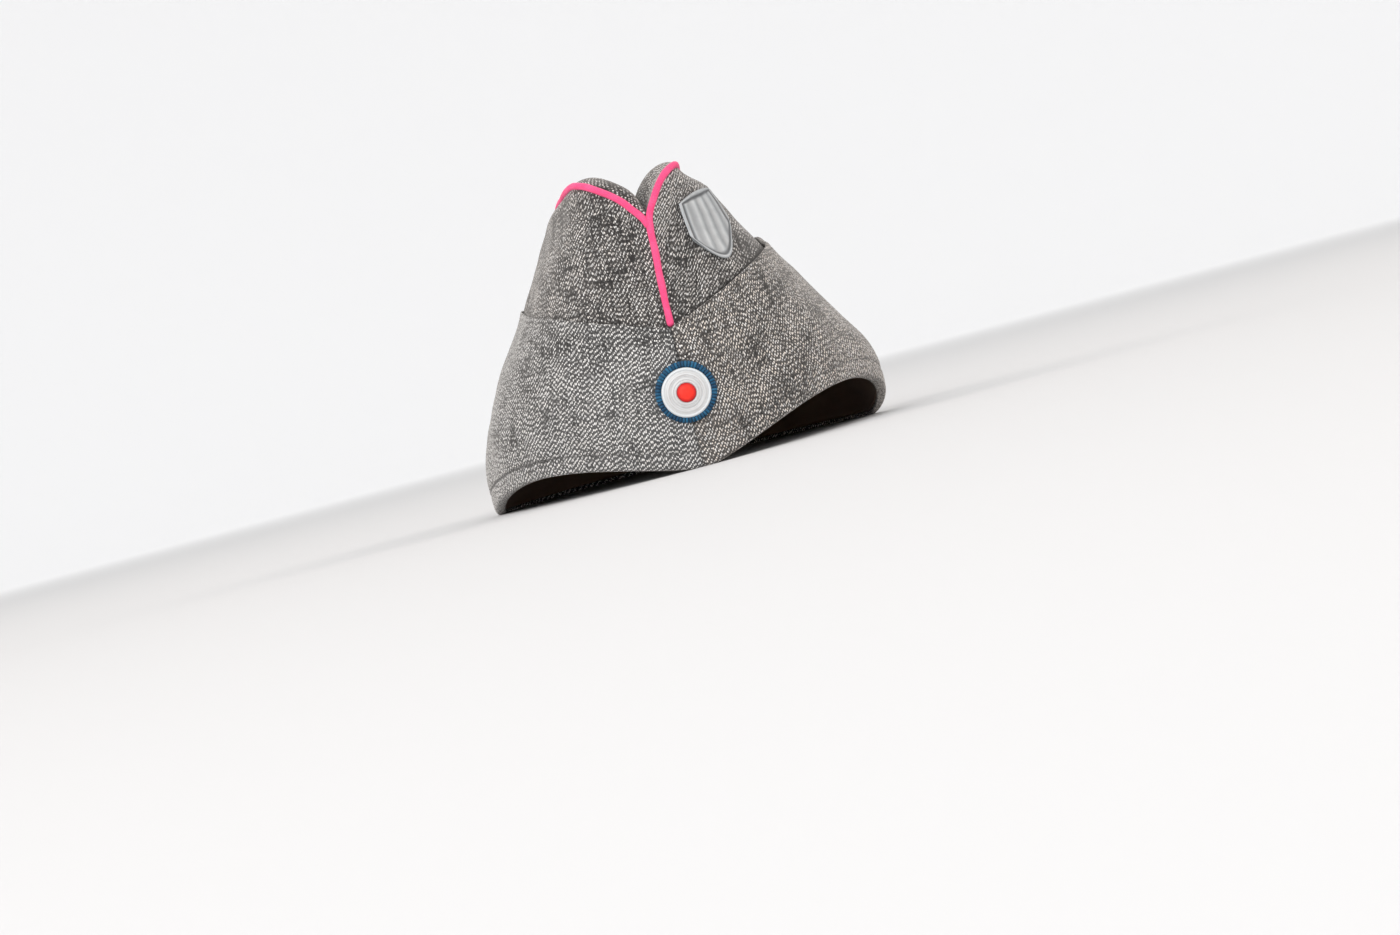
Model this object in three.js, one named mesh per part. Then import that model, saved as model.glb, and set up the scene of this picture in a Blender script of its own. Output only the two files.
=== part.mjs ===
// A cloth side cap: two crown panels and a folded-in top, a turn-up curtain in two halves, piping in the
// crown's seams, an inner band, a round cockade in front and a plain badge on the left panel.
// Millimetres, +Z up. The front faces -Y, the wearer's left is +X, and the rim rests on z = 0.
import * as THREE from "three";

const { clamp, degToRad, lerp, radToDeg, smoothstep } = THREE.MathUtils;
const LEFT = 1;
const RIGHT = -1;

// The rim's outline on the crown's outer face
const RIM_HALF_WIDTH = 81.3;
const RIM_HALF_LENGTH = 101;
const CENTRE_Y = 1.1; // puts the middle of the cap's whole length over the origin
const RIM_POINT = 18; // the share of the half length that gives the oval a slight point at each end
const RIM_EGG = 0.04; // how much narrower the front of the oval is
const ARCH_HEIGHT = { [LEFT]: 17.4, [RIGHT]: 10.7 }; // the rim lifts this far over each temple
const ARCH_START = degToRad(3);
const ARCH_END = { [LEFT]: degToRad(108), [RIGHT]: degToRad(96) };
const ARCH_POWER = 1.2;

// Cloth and clearances
const CROWN_CLOTH = 1.6;
const CURTAIN_CLOTH = 1.8;
const HEM = 1.2; // thickness of the curtain's edge where it turns in under the crown
const HEM_EDGE = 0.8; // the bevel on the outside of that turn
const GAP = 0.35;
const CURTAIN_GAP = 0.6;
const SEAM_GAP = 0.2; // from a seam's middle to each cloth edge
const SEAM_FADE = degToRad(16);

// The crown's panels and top
const BELLY_LOW = 0.7; // over 0 puts the belly of a panel below its middle
const FRONT_LEAN = 4.5; // how far the top of the front seam leans to the left
const LEAN_POWER = 1.7;
const LEAN_END = degToRad(70);
const RIDGE_SINK = { [LEFT]: 2.5, [RIGHT]: 0 }; // how much lower the ridge stands at the side
const SHOULDER_SINK = { [LEFT]: 2.5, [RIGHT]: 1.5 }; // how far the top's roll presses the ridge down
const SHOULDER_IN = { [LEFT]: 2.5, [RIGHT]: 2 }; // and draws it in
const SHOULDER_RISE = 0.8; // the share of the way up where that starts
const SHOULDER_START = degToRad(8);
const SHOULDER_FULL = degToRad(30);
const SHOULDER_FADE = degToRad(70);
const SHOULDER_END = degToRad(120);
const VALLEY_HALF_WIDTH = 0.8;
const VALLEY_START = degToRad(8);
const VALLEY_END = degToRad(172);

// The curtain's top edge stands off the crown, and it stands off more and runs higher on the left
const CURTAIN_FLARE = { [LEFT]: 1.8, [RIGHT]: 1.0 };
const FLARE_POWER = 4;
const FLARE_START = degToRad(4);
const FLARE_FULL = degToRad(35);
const FLARE_FADE = degToRad(40);
const FLARE_END = degToRad(72);
const EDGE_RAISE = { [LEFT]: 1.5, [RIGHT]: -1.5 };

// Piping and the inner band
const PIPING_RADIUS = 1.4;
const PIPING_CLEARANCE = PIPING_RADIUS + 0.75;
const TOP_CLEARANCE = PIPING_CLEARANCE + 0.3;
const PIPING_SIDES = 8;
const FORK_RISE = 0.97; // where the stem of the left piping bends over into its ridge
const LEFT_RIDGE_START = degToRad(1);
const RIGHT_RIDGE_START = degToRad(3.4);
const RIDGE_END = degToRad(177.6);
const NOTCH_LOW = 8; // the front seam opens for the piping between these depths below its end
const NOTCH_HIGH = 1;
const BAND_CLOTH = 1;
const BAND_HEIGHT = 28;
const BAND_GAP = 0.7;

// The cockade presses its patch of cloth flat
const COCKADE_HEIGHT = 29;
const PATCH_DEPTH = 1.3;
const PATCH_RADIUS = 12.5;
const PATCH_FADE = 26;
const RING_RIBS = 40;
const RING_RIDGE = { radius: 11.75, edge: 1.2, top: 2.2 };
const RING_GROOVE = { radius: 11.4, edge: 1, top: 1.7 };
const DISC_RADIUS = 9.5;
const BOSS_RADIUS = 3.9;
const BOSS_SEAT = 2;
const BOSS_WALL = 2.9;
const BOSS_DOME = 1.1;

// The disc's turned face, from its back edge in to the seat of the boss
const DISC_FACE = [
  { radius: DISC_RADIUS, y: 0.4 },
  { radius: DISC_RADIUS, y: 2 },
  { radius: 8.9, y: 2.6 },
  { radius: 8.3, y: 2.3 },
  { radius: 6.3, y: 2.5 },
  { radius: 6, y: 2.3 },
  { radius: 4.6, y: 2.6 },
  { radius: BOSS_RADIUS + GAP, y: BOSS_SEAT },
];

// The badge, a shield that follows the left panel
const BADGE_WIDTH = 27;
const BADGE_HEIGHT = 30;
const BADGE_ANGLE = degToRad(29);
const BADGE_RISE = 0.735; // its place between rim and ridge
const BADGE_PLATE = 1.1;
const BADGE_RELIEF = 0.6; // how far its rim and ribs stand up
const BADGE_RIM = 0.08; // the rim's width as a share of the badge
const BADGE_SHOULDER = 0.45; // the share of its height with straight sides
const BADGE_TAPER = 1.7;

// Numbers of rows and steps in the solids
const ANGLE_STEPS = 28;
const PANEL_ROWS = 10;
const CURTAIN_ROWS = 6;
const BAND_ROWS = 3;
const TOP_STEPS = 26;
const TOP_ROWS = 7;
const STEM_ROWS = 6;
const RIDGE_ROWS = 36;
const LEFT_PIPING_STEPS = 66;
const RIGHT_PIPING_STEPS = 50;
const DISC_SEGMENTS = 32;
const BOSS_SEGMENTS = 24;
const BOSS_ROWS = 4;
const BADGE_COLUMNS = 12;
const BADGE_ROWS = 3;
const END_CROWDING = 0.55; // over 0 puts the sections closer together near the front and back seams

// Sections round half the cap, by the angle in degrees from the front seam: the ridge seam's place, how far
// the panel bellies out and the height of the curtain's edge
const SIDE_SECTIONS = [
  { angle: 0, ridgeX: 0, ridgeY: -86, ridgeZ: 98, belly: 5.5, curtainZ: 53.5 },
  { angle: 6, ridgeX: 3.4, ridgeY: -84.5, ridgeZ: 103, belly: 5.7, curtainZ: 55.5 },
  { angle: 13, ridgeX: 8.5, ridgeY: -81, ridgeZ: 110.5, belly: 6, curtainZ: 58.5 },
  { angle: 22, ridgeX: 15.5, ridgeY: -75, ridgeZ: 116, belly: 6.5, curtainZ: 62.5 },
  { angle: 33, ridgeX: 21, ridgeY: -65, ridgeZ: 118, belly: 7.2, curtainZ: 67 },
  { angle: 50, ridgeX: 26.5, ridgeY: -46, ridgeZ: 117, belly: 7.9, curtainZ: 72.5 },
  { angle: 75, ridgeX: 30, ridgeY: -15, ridgeZ: 113, belly: 8.6, curtainZ: 78 },
  { angle: 105, ridgeX: 30, ridgeY: 20, ridgeZ: 108, belly: 8.6, curtainZ: 80 },
  { angle: 130, ridgeX: 26.5, ridgeY: 47, ridgeZ: 103.5, belly: 7.9, curtainZ: 78 },
  { angle: 150, ridgeX: 20, ridgeY: 66, ridgeZ: 99.5, belly: 7, curtainZ: 75 },
  { angle: 163, ridgeX: 13, ridgeY: 77, ridgeZ: 94.5, belly: 6.2, curtainZ: 72.5 },
  { angle: 172, ridgeX: 6.5, ridgeY: 83, ridgeZ: 89, belly: 5.7, curtainZ: 71 },
  { angle: 180, ridgeX: 0, ridgeY: 87, ridgeZ: 83, belly: 5.5, curtainZ: 70.5 },
];

// The same for the top: the valley floor's place, how the cloth rolls in and up out of the ridge seam, and
// how high the valley's two sides stand close together
const TOP_SECTIONS = [
  { angle: 0, floorY: -84, floorZ: 97, rollIn: 0.5, rollUp: 0.5, fold: 1 },
  { angle: 6, floorY: -79, floorZ: 97.5, rollIn: 2.2, rollUp: 1.2, fold: 5 },
  { angle: 13, floorY: -72, floorZ: 96, rollIn: 4.5, rollUp: 2, fold: 12.5 },
  { angle: 22, floorY: -64, floorZ: 93, rollIn: 6, rollUp: 3.5, fold: 21 },
  { angle: 33, floorY: -55, floorZ: 90, rollIn: 7, rollUp: 4.5, fold: 29 },
  { angle: 50, floorY: -40, floorZ: 88, rollIn: 7, rollUp: 4.5, fold: 31 },
  { angle: 75, floorY: -13, floorZ: 87, rollIn: 6, rollUp: 4, fold: 27 },
  { angle: 105, floorY: 20, floorZ: 86, rollIn: 5, rollUp: 4, fold: 22 },
  { angle: 130, floorY: 44, floorZ: 84, rollIn: 4.5, rollUp: 4, fold: 18 },
  { angle: 150, floorY: 60, floorZ: 82, rollIn: 4, rollUp: 3.5, fold: 14 },
  { angle: 163, floorY: 69, floorZ: 81, rollIn: 4, rollUp: 2.5, fold: 10 },
  { angle: 172, floorY: 75, floorZ: 81.5, rollIn: 3, rollUp: 1.5, fold: 5 },
  { angle: 180, floorY: 83, floorZ: 82, rollIn: 0.5, rollUp: 0.5, fold: 1 },
];

// A function that gives every column of a section table at any angle.
function sectionReader(rows) {
  const columns = Object.keys(rows[0]).filter((column) => column !== "angle");
  const curve = new THREE.CubicInterpolant(
    rows.map((row) => row.angle),
    rows.flatMap((row) => columns.map((column) => row[column])),
    columns.length,
  );
  return (angle) => {
    const values = curve.evaluate(radToDeg(angle));
    return Object.fromEntries(columns.map((column, i) => [column, values[i]]));
  };
}

const sideAt = sectionReader(SIDE_SECTIONS);
const topAt = sectionReader(TOP_SECTIONS);

// A point of the rim on the crown's outer face, on the left, with the arch of either side.
function rimPoint(side, angle) {
  const overTemple = clamp((angle - ARCH_START) / (ARCH_END[side] - ARCH_START), 0, 1);
  const rounded = (RIM_HALF_LENGTH - RIM_POINT) * Math.cos(angle);
  return new THREE.Vector3(
    RIM_HALF_WIDTH * Math.sin(angle) * (1 - RIM_EGG * Math.cos(angle)),
    -(rounded + RIM_POINT * (1 - (2 * angle) / Math.PI)),
    ARCH_HEIGHT[side] * Math.sin(Math.PI * overTemple) ** ARCH_POWER,
  );
}

function ridgePoint(angle) {
  const { ridgeX, ridgeY, ridgeZ } = sideAt(angle);
  return new THREE.Vector3(ridgeX, ridgeY, ridgeZ);
}

// How much cloth is cut back from the ridge seam, so that an edge which comes in along a direction keeps
// its clearance square to the seam.
function seamTrim(angle, direction, clearance) {
  const step = 0.01;
  const along = ridgePoint(Math.min(angle + step, Math.PI)).sub(ridgePoint(Math.max(angle - step, 0)));
  return clearance / Math.sin(along.angleTo(direction));
}

// How far the whole cap leans to the left at a point that lies rise of the way up to the ridge.
function leanAt(angle, rise) {
  return FRONT_LEAN * rise ** LEAN_POWER * (1 - smoothstep(angle, 0, LEAN_END));
}

// How far a point sinks at a side whose ridge stands lower.
function sinkAt(side, angle, rise) {
  return RIDGE_SINK[side] * Math.sin(angle) * rise ** 2;
}

// How much of the shoulder's pull a point takes.
function shoulderAt(angle, rise) {
  const fromFront = smoothstep(angle, SHOULDER_START, SHOULDER_FULL);
  const toBack = 1 - smoothstep(angle, SHOULDER_FADE, SHOULDER_END);
  return fromFront * toBack * smoothstep(rise, SHOULDER_RISE, 1);
}

// A panel, set on the left, without its seam edges, the lean, the shoulder or the cockade's patch.
function plainPanel(side, angle, rise) {
  const belly = sideAt(angle).belly * Math.sin(Math.PI * rise * (1 + BELLY_LOW * (1 - rise)));
  const point = rimPoint(side, angle).lerp(ridgePoint(angle), rise);
  point.x += belly * Math.sin(angle);
  point.y -= belly * Math.cos(angle);
  return point;
}

const patchY = plainPanel(LEFT, 0, COCKADE_HEIGHT / ridgePoint(0).z).y + PATCH_DEPTH;

// The cloth's width for each radian round from the front seam
const rimSpread = RIM_HALF_WIDTH;
const ridgeSpread = SIDE_SECTIONS[1].ridgeX / degToRad(SIDE_SECTIONS[1].angle);

// A point on the outer face of a crown panel, whose edges keep their gap to the middle of each seam.
function panelPoint(side, angle, rise, frontGap = SEAM_GAP) {
  const perAngle = lerp(rimSpread, ridgeSpread, rise);
  const fromFront = frontGap * (1 - smoothstep(angle, 0, SEAM_FADE));
  const fromBack = SEAM_GAP * (1 - smoothstep(Math.PI - angle, 0, SEAM_FADE));
  const turn = angle + (fromFront - fromBack) / perAngle;
  const point = plainPanel(side, turn, rise);
  const fromCockade = Math.hypot(point.x, point.z - COCKADE_HEIGHT);
  if (turn < Math.PI / 2) point.y = lerp(patchY, point.y, smoothstep(fromCockade, PATCH_RADIUS, PATCH_FADE));
  const shoulder = shoulderAt(turn, rise);
  point.x = side * (point.x - SHOULDER_IN[side] * shoulder) + leanAt(turn, rise);
  point.z -= sinkAt(side, turn, rise) + SHOULDER_SINK[side] * shoulder;
  return point;
}

// A point of the ridge seam.
function seamPoint(side, angle) {
  const shoulder = shoulderAt(angle, 1);
  const point = ridgePoint(angle);
  point.x = side * (point.x - SHOULDER_IN[side] * shoulder) + leanAt(angle, 1);
  point.z -= sinkAt(side, angle, 1) + SHOULDER_SINK[side] * shoulder;
  return point;
}

// The panel's outward direction, which looks straight ahead at the front and back seams.
function panelNormal(side, angle, rise) {
  const step = 0.004;
  const [back, ahead] = [Math.max(angle - step, 0), Math.min(angle + step, Math.PI)];
  const [below, above] = [Math.max(rise - step, 0), Math.min(rise + step, 1)];
  const along = panelPoint(side, ahead, rise).sub(panelPoint(side, back, rise));
  const up = panelPoint(side, angle, above).sub(panelPoint(side, angle, below));
  const normal = along.cross(up).multiplyScalar(side);
  normal.x *= smoothstep(Math.sin(angle), 0, Math.sin(SEAM_FADE));
  return normal.normalize();
}

// A point at a distance out from the crown's outer face.
function offPanel(side, angle, rise, distance, frontGap) {
  const point = panelPoint(side, angle, rise, frontGap);
  return point.addScaledVector(panelNormal(side, angle, rise), distance);
}

function riseAtHeight(side, angle, height) {
  const rimZ = rimPoint(side, angle).z;
  return (height - rimZ) / (ridgePoint(angle).z - rimZ);
}

// The same at a height above the rim, moved out level.
function offRim(side, angle, height, distance) {
  const z = rimPoint(side, angle).z + height;
  return offPanel(side, angle, riseAtHeight(side, angle, z), distance).setZ(z);
}

// Numbers from first to last in even steps.
function steps(first, last, count) {
  return Array.from({ length: count + 1 }, (_, i) => lerp(first, last, i / count));
}

// Numbers from first to last that lie closer together at both ends.
function crowded(first, last, count) {
  const shift = (t) => (END_CROWDING * Math.sin(2 * Math.PI * t)) / (2 * Math.PI);
  return steps(0, 1, count).map((t) => lerp(first, last, t - shift(t)));
}

const ANGLES = crowded(0, Math.PI, ANGLE_STEPS);

// A section of a wall: up the outer face and back down the inner one.
function wallRing(outer, inner) {
  return [...outer, ...inner.toReversed()];
}

// A closed solid through rings with equal numbers of points. An open row of rings is closed by a strip
// across each end, from every point of the outer face to the one behind it.
function loft(rings, isClosed = false) {
  const size = rings[0].length;
  const triangles = [];
  const quad = (a, b, c, d) => triangles.push(a, b, c, a, c, d);
  for (let r = 0; r < rings.length - (isClosed ? 0 : 1); r++) {
    const here = r * size;
    const there = ((r + 1) % rings.length) * size;
    for (let k = 0; k < size; k++) {
      const next = (k + 1) % size;
      quad(here + k, here + next, there + next, there + k);
    }
  }
  for (let k = 0; !isClosed && k < size / 2 - 1; k++) {
    const end = (rings.length - 1) * size;
    quad(k, size - 1 - k, size - 2 - k, k + 1);
    quad(end + k, end + k + 1, end + size - 2 - k, end + size - 1 - k);
  }
  const points = rings.flat();
  const geometry = new THREE.BufferGeometry().setFromPoints(points);
  geometry.setIndex(facingOut(points, triangles));
  geometry.computeVertexNormals();
  return geometry;
}

// The triangles turned round where they enclose a negative volume.
function facingOut(points, triangles) {
  const cross = new THREE.Vector3();
  let volume = 0;
  for (let i = 0; i < triangles.length; i += 3) {
    const [a, b, c] = triangles.slice(i, i + 3).map((index) => points[index]);
    volume += cross.crossVectors(b, c).dot(a);
  }
  return volume < 0 ? triangles.toReversed() : triangles;
}

// A crown panel, from the hem to the ridge seam, with its front edge cut back for the piping.
const pipingEndZ = SIDE_SECTIONS[0].curtainZ + 2 * GAP;
function crownPanel(side) {
  const rings = ANGLES.map((angle) => {
    const nearRidge = 0.9;
    const toRidge = panelPoint(side, angle, 1).sub(panelPoint(side, angle, nearRidge));
    const trim = (seamTrim(angle, toRidge, PIPING_CLEARANCE) * (1 - nearRidge)) / toRidge.length();
    const first = riseAtHeight(side, angle, rimPoint(side, angle).z + HEM + GAP);
    const rises = steps(first, 1 - trim, PANEL_ROWS);
    const gapAt = (rise) => {
      const below = pipingEndZ - plainPanel(side, angle, rise).z;
      return lerp(PIPING_CLEARANCE, SEAM_GAP, smoothstep(below, NOTCH_HIGH, NOTCH_LOW));
    };
    const outer = rises.map((rise) => offPanel(side, angle, rise, 0, gapAt(rise)));
    const inner = rises.map((rise) => offPanel(side, angle, rise, -CROWN_CLOTH, gapAt(rise)));
    inner[0].setZ(outer[0].z);
    return wallRing(outer, inner);
  });
  return loft(rings);
}

// Half a section of the top: up out of the ridge seam, over and down to the valley's floor.
function topCurve(side, angle) {
  const { ridgeX, ridgeY, ridgeZ } = sideAt(angle);
  const { floorY, floorZ, rollIn, rollUp, fold } = topAt(angle);
  const at = (x, y, z) => new THREE.Vector3(side * x + leanAt(angle, 1), y, z - sinkAt(side, angle, 1));
  const rollX = ridgeX - rollIn - SHOULDER_IN[side] * shoulderAt(angle, 1);
  return new THREE.CubicBezierCurve3(
    seamPoint(side, angle),
    at(rollX, ridgeY, ridgeZ + rollUp),
    at(VALLEY_HALF_WIDTH, floorY, floorZ + fold),
    at(VALLEY_HALF_WIDTH, floorY, floorZ),
  );
}

// Its points from the seam's edge to the floor, each with the one below it on the under face.
function topHalf(side, angle) {
  const step = 0.01;
  const [before, curve, after] = [-step, 0, step].map((turn) => topCurve(side, angle + turn));
  const { rollIn, rollUp } = topAt(angle);
  const trim = seamTrim(angle, new THREE.Vector3(-rollIn, 0, rollUp), TOP_CLEARANCE);
  return steps(curve.getUtoTmapping(0, trim), 1, TOP_ROWS).map((t) => {
    const upper = curve.getPoint(t);
    const along = after.getPoint(t).sub(before.getPoint(t));
    const below = curve.getTangent(t).cross(along).multiplyScalar(side).normalize();
    if (t === 1) below.z -= 1;
    return { upper, lower: below.multiplyScalar(CROWN_CLOTH).add(upper) };
  });
}

// The top between the ridges, one cloth thick below its upper face.
function crownTop() {
  const rings = crowded(VALLEY_START, VALLEY_END, TOP_STEPS).map((angle) => {
    const points = [...topHalf(LEFT, angle), ...topHalf(RIGHT, angle).toReversed()];
    return wallRing(
      points.map(({ upper }) => upper),
      points.map(({ lower }) => lower),
    );
  });
  return loft(rings);
}

// Half the curtain: a wall round the crown with a hem that turns in under it.
const hemDepth = CROWN_CLOTH + BAND_GAP + BAND_CLOTH;
function curtainHalf(side) {
  const rings = ANGLES.map((angle) => {
    const edge = riseAtHeight(side, angle, sideAt(angle).curtainZ + EDGE_RAISE[side] * Math.sin(angle));
    const fromFront = smoothstep(angle, FLARE_START, FLARE_FULL);
    const toSide = 1 - smoothstep(angle, FLARE_FADE, FLARE_END);
    const flare = CURTAIN_FLARE[side] * fromFront * toSide;
    const inside = (rise) => CURTAIN_GAP + flare * (rise / edge) ** FLARE_POWER;
    const outside = CURTAIN_GAP + CURTAIN_CLOTH;
    const rises = steps(riseAtHeight(side, angle, rimPoint(side, angle).z + 2 * HEM), edge, CURTAIN_ROWS);
    return wallRing(
      [
        offRim(side, angle, 0, -hemDepth),
        offRim(side, angle, 0, outside - HEM_EDGE),
        offRim(side, angle, HEM_EDGE, outside),
        ...rises.map((rise) => offPanel(side, angle, rise, inside(rise) + CURTAIN_CLOTH)),
      ],
      [
        offRim(side, angle, HEM, -hemDepth),
        offRim(side, angle, HEM, 0),
        offRim(side, angle, HEM + GAP, CURTAIN_GAP),
        ...rises.map((rise) => offPanel(side, angle, rise, inside(rise))),
      ],
    );
  });
  return loft(rings);
}

// The band inside the rim, one ring round the whole cap.
function innerBand() {
  const outside = -CROWN_CLOTH - BAND_GAP;
  const ringAt = (side, angle) => {
    const heights = steps(HEM + GAP, HEM + GAP + BAND_HEIGHT, BAND_ROWS);
    return wallRing(
      heights.map((height) => offRim(side, angle, height, outside)),
      heights.map((height) => offRim(side, angle, height, outside - BAND_CLOTH)),
    );
  };
  const between = ANGLES.slice(1, -1);
  return loft(
    [
      ...between.map((angle) => ringAt(LEFT, angle)),
      ...between.toReversed().map((angle) => ringAt(RIGHT, angle)),
    ],
    true,
  );
}

// A round cord along the points.
function piping(points, count) {
  const corners = steps(0, 2 * Math.PI, PIPING_SIDES)
    .slice(1)
    .map((turn) => new THREE.Vector2(Math.cos(turn), Math.sin(turn)).multiplyScalar(PIPING_RADIUS));
  return new THREE.ExtrudeGeometry(new THREE.Shape(corners), {
    steps: count,
    bevelEnabled: false,
    extrudePath: new THREE.CatmullRomCurve3(points),
  });
}

// The ridge seam's line, which stops short of the other side's piping at its ends.
function ridgeLine(side, first, last) {
  return steps(first, last, RIDGE_ROWS).map((angle) => seamPoint(side, angle));
}

function leftPiping() {
  const rises = steps(riseAtHeight(LEFT, 0, pipingEndZ), FORK_RISE, STEM_ROWS);
  const stem = rises.map((rise) => plainPanel(LEFT, 0, rise).setX(leanAt(0, rise)));
  return piping([...stem, ...ridgeLine(LEFT, LEFT_RIDGE_START, RIDGE_END)], LEFT_PIPING_STEPS);
}

function rightPiping() {
  return piping(ridgeLine(RIGHT, RIGHT_RIDGE_START, RIDGE_END), RIGHT_PIPING_STEPS);
}

// The cockade's parts turn round +Y, with the back at y = 0.
function cockadeRing() {
  const inner = DISC_RADIUS + GAP;
  const middle = (inner + RING_RIDGE.radius) / 2;
  const rings = steps(0, 2 * RING_RIBS, 2 * RING_RIBS)
    .slice(1)
    .map((half) => {
      const { radius, edge, top } = half % 2 ? RING_RIDGE : RING_GROOVE;
      const turn = (Math.PI * half) / RING_RIBS;
      const at = (r, y) => new THREE.Vector3(r * Math.cos(turn), y, r * Math.sin(turn));
      return [at(inner, 0), at(radius, 0), at(radius, edge), at(middle, top), at(inner, edge)];
    });
  return loft(rings, true);
}

// A turned solid from a profile that is closed by a flat at each end.
function turned(profile, segments) {
  const rows = [{ radius: 0, y: profile[0].y }, ...profile, { radius: 0, y: profile.at(-1).y }];
  const points = rows.map(({ radius, y }) => new THREE.Vector2(radius, y));
  return new THREE.LatheGeometry(points, segments);
}

function cockadeBoss() {
  const dome = steps(0, Math.PI / 2, BOSS_ROWS).slice(0, -1);
  const rows = dome.map((turn) => ({
    radius: BOSS_RADIUS * Math.cos(turn),
    y: BOSS_WALL + BOSS_DOME * Math.sin(turn),
  }));
  return turned([{ radius: BOSS_RADIUS, y: BOSS_SEAT + GAP }, ...rows], BOSS_SEGMENTS);
}

// Shares from first to 1, with a narrow row along each end for the badge's rim.
function rimmed(first, count) {
  const inside = steps(first + 2 * BADGE_RIM, 1 - 2 * BADGE_RIM, count);
  return [first, first + BADGE_RIM, ...inside, 1 - BADGE_RIM, 1];
}

// The badge: columns of points across a shield, each on the panel's own surface.
function badge() {
  const step = 0.01;
  const centre = panelPoint(LEFT, BADGE_ANGLE, BADGE_RISE);
  const perAngle = panelPoint(LEFT, BADGE_ANGLE + step, BADGE_RISE).distanceTo(centre) / step;
  const perRise = panelPoint(LEFT, BADGE_ANGLE, BADGE_RISE + step).distanceTo(centre) / step;
  const isWithin = (share, first, rims) => share > first + rims * BADGE_RIM && share < 1 - rims * BADGE_RIM;
  const columns = rimmed(-1, BADGE_COLUMNS);
  const rows = rimmed(0, BADGE_ROWS);
  const rings = columns.map((across, column) => {
    const low = BADGE_HEIGHT * ((1 - BADGE_SHOULDER) * Math.abs(across) ** BADGE_TAPER - 0.5);
    const angle = BADGE_ANGLE + (across * BADGE_WIDTH) / 2 / perAngle;
    const front = (up) => {
      const isField = isWithin(across, -1, 1.5) && isWithin(up, 0, 1.5);
      const isRib = column % 2 === 0 && isWithin(across, -1, 2.5) && isWithin(up, 0, 2.5);
      return GAP + BADGE_PLATE + (isField && !isRib ? 0 : BADGE_RELIEF);
    };
    const at = (up, distance) => {
      const rise = BADGE_RISE + lerp(low, BADGE_HEIGHT / 2, up) / perRise;
      return offPanel(LEFT, angle, rise, distance, 0);
    };
    return wallRing(
      rows.map((up) => at(up, front(up))),
      rows.map((up) => at(up, GAP)),
    );
  });
  return loft(rings);
}

const cloth = { color: 0x807c78, roughness: 0.95, metalness: 0 };
const pink = { color: 0xfb5f93, roughness: 0.8, metalness: 0 };
const brown = { color: 0x5a4638, roughness: 0.8, metalness: 0 };
const blueEnamel = { color: 0x1f5a86, roughness: 0.4, metalness: 0.2 };
const silver = { color: 0xd8dada, roughness: 0.3, metalness: 0.9 };
const redEnamel = { color: 0xe8402f, roughness: 0.35, metalness: 0 };
const greyMetal = { color: 0xa8acae, roughness: 0.45, metalness: 0.9 };

function piece(name, geometry, finish) {
  const mesh = new THREE.Mesh(geometry, new THREE.MeshStandardMaterial(finish));
  mesh.name = name;
  return mesh;
}

const crown = new THREE.Group();
crown.add(
  piece("crown_left", crownPanel(LEFT), cloth),
  piece("crown_right", crownPanel(RIGHT), cloth),
  piece("crown_top", crownTop(), cloth),
  piece("piping_left", leftPiping(), pink),
  piece("piping_right", rightPiping(), pink),
  piece("inner_band", innerBand(), brown),
  piece("badge", badge(), greyMetal),
);

// The cockade's +Y turns to the front, and its back lies against the curtain.
const cockade = new THREE.Group();
cockade.position.set(
  leanAt(0, COCKADE_HEIGHT / ridgePoint(0).z),
  patchY - CURTAIN_GAP - CURTAIN_CLOTH - GAP,
  COCKADE_HEIGHT,
);
cockade.rotation.x = Math.PI;
cockade.add(
  piece("cockade_ring", cockadeRing(), blueEnamel),
  piece("cockade_disc", turned(DISC_FACE, DISC_SEGMENTS), silver),
  piece("cockade_boss", cockadeBoss(), redEnamel),
);

const curtain = new THREE.Group();
curtain.add(
  piece("curtain_left", curtainHalf(LEFT), cloth),
  piece("curtain_right", curtainHalf(RIGHT), cloth),
  cockade,
);

const cap = new THREE.Group();
cap.position.y = CENTRE_Y;
cap.add(crown, curtain);

export default cap;
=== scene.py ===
import math
import bpy
import numpy as np
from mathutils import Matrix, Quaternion, Vector, noise


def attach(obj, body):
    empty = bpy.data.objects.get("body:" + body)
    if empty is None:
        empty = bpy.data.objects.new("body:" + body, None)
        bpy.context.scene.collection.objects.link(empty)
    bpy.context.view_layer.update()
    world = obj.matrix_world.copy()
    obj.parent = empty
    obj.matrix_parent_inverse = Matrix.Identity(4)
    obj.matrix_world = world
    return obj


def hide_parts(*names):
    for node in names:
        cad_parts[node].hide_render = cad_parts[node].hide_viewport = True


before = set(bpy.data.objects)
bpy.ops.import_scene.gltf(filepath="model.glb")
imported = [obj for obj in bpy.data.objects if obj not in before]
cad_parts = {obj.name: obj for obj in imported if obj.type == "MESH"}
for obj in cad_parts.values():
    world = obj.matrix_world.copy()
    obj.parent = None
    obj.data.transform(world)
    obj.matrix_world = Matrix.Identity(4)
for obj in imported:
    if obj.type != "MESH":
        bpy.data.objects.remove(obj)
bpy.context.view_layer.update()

# The crown's side panels are a left and a right piece of soft wool twill in black and cream yarn.
# They are sewn together up the front and the back, and their upper edges turn in along the ridge seams.
# Lengths here are in millimetres, and angles go round from the front seam to the back one.
MM = 0.001
LEFT, RIGHT = 1, -1
CENTRE_Y = 1.1
RIM_HALF_WIDTH = 81.3
RIM_HALF_LENGTH = 101
RIM_POINT = 18
RIM_EGG = 0.04
ARCH_HEIGHT = {LEFT: 17.4, RIGHT: 10.7}
ARCH_START = math.radians(3)
ARCH_END = {LEFT: math.radians(108), RIGHT: math.radians(96)}
ARCH_POWER = 1.2
BELLY_LOW = 0.7
FRONT_LEAN = 4.5
LEAN_POWER = 1.7
LEAN_END = math.radians(70)
RIDGE_SINK = {LEFT: 3.6, RIGHT: 0}
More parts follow.
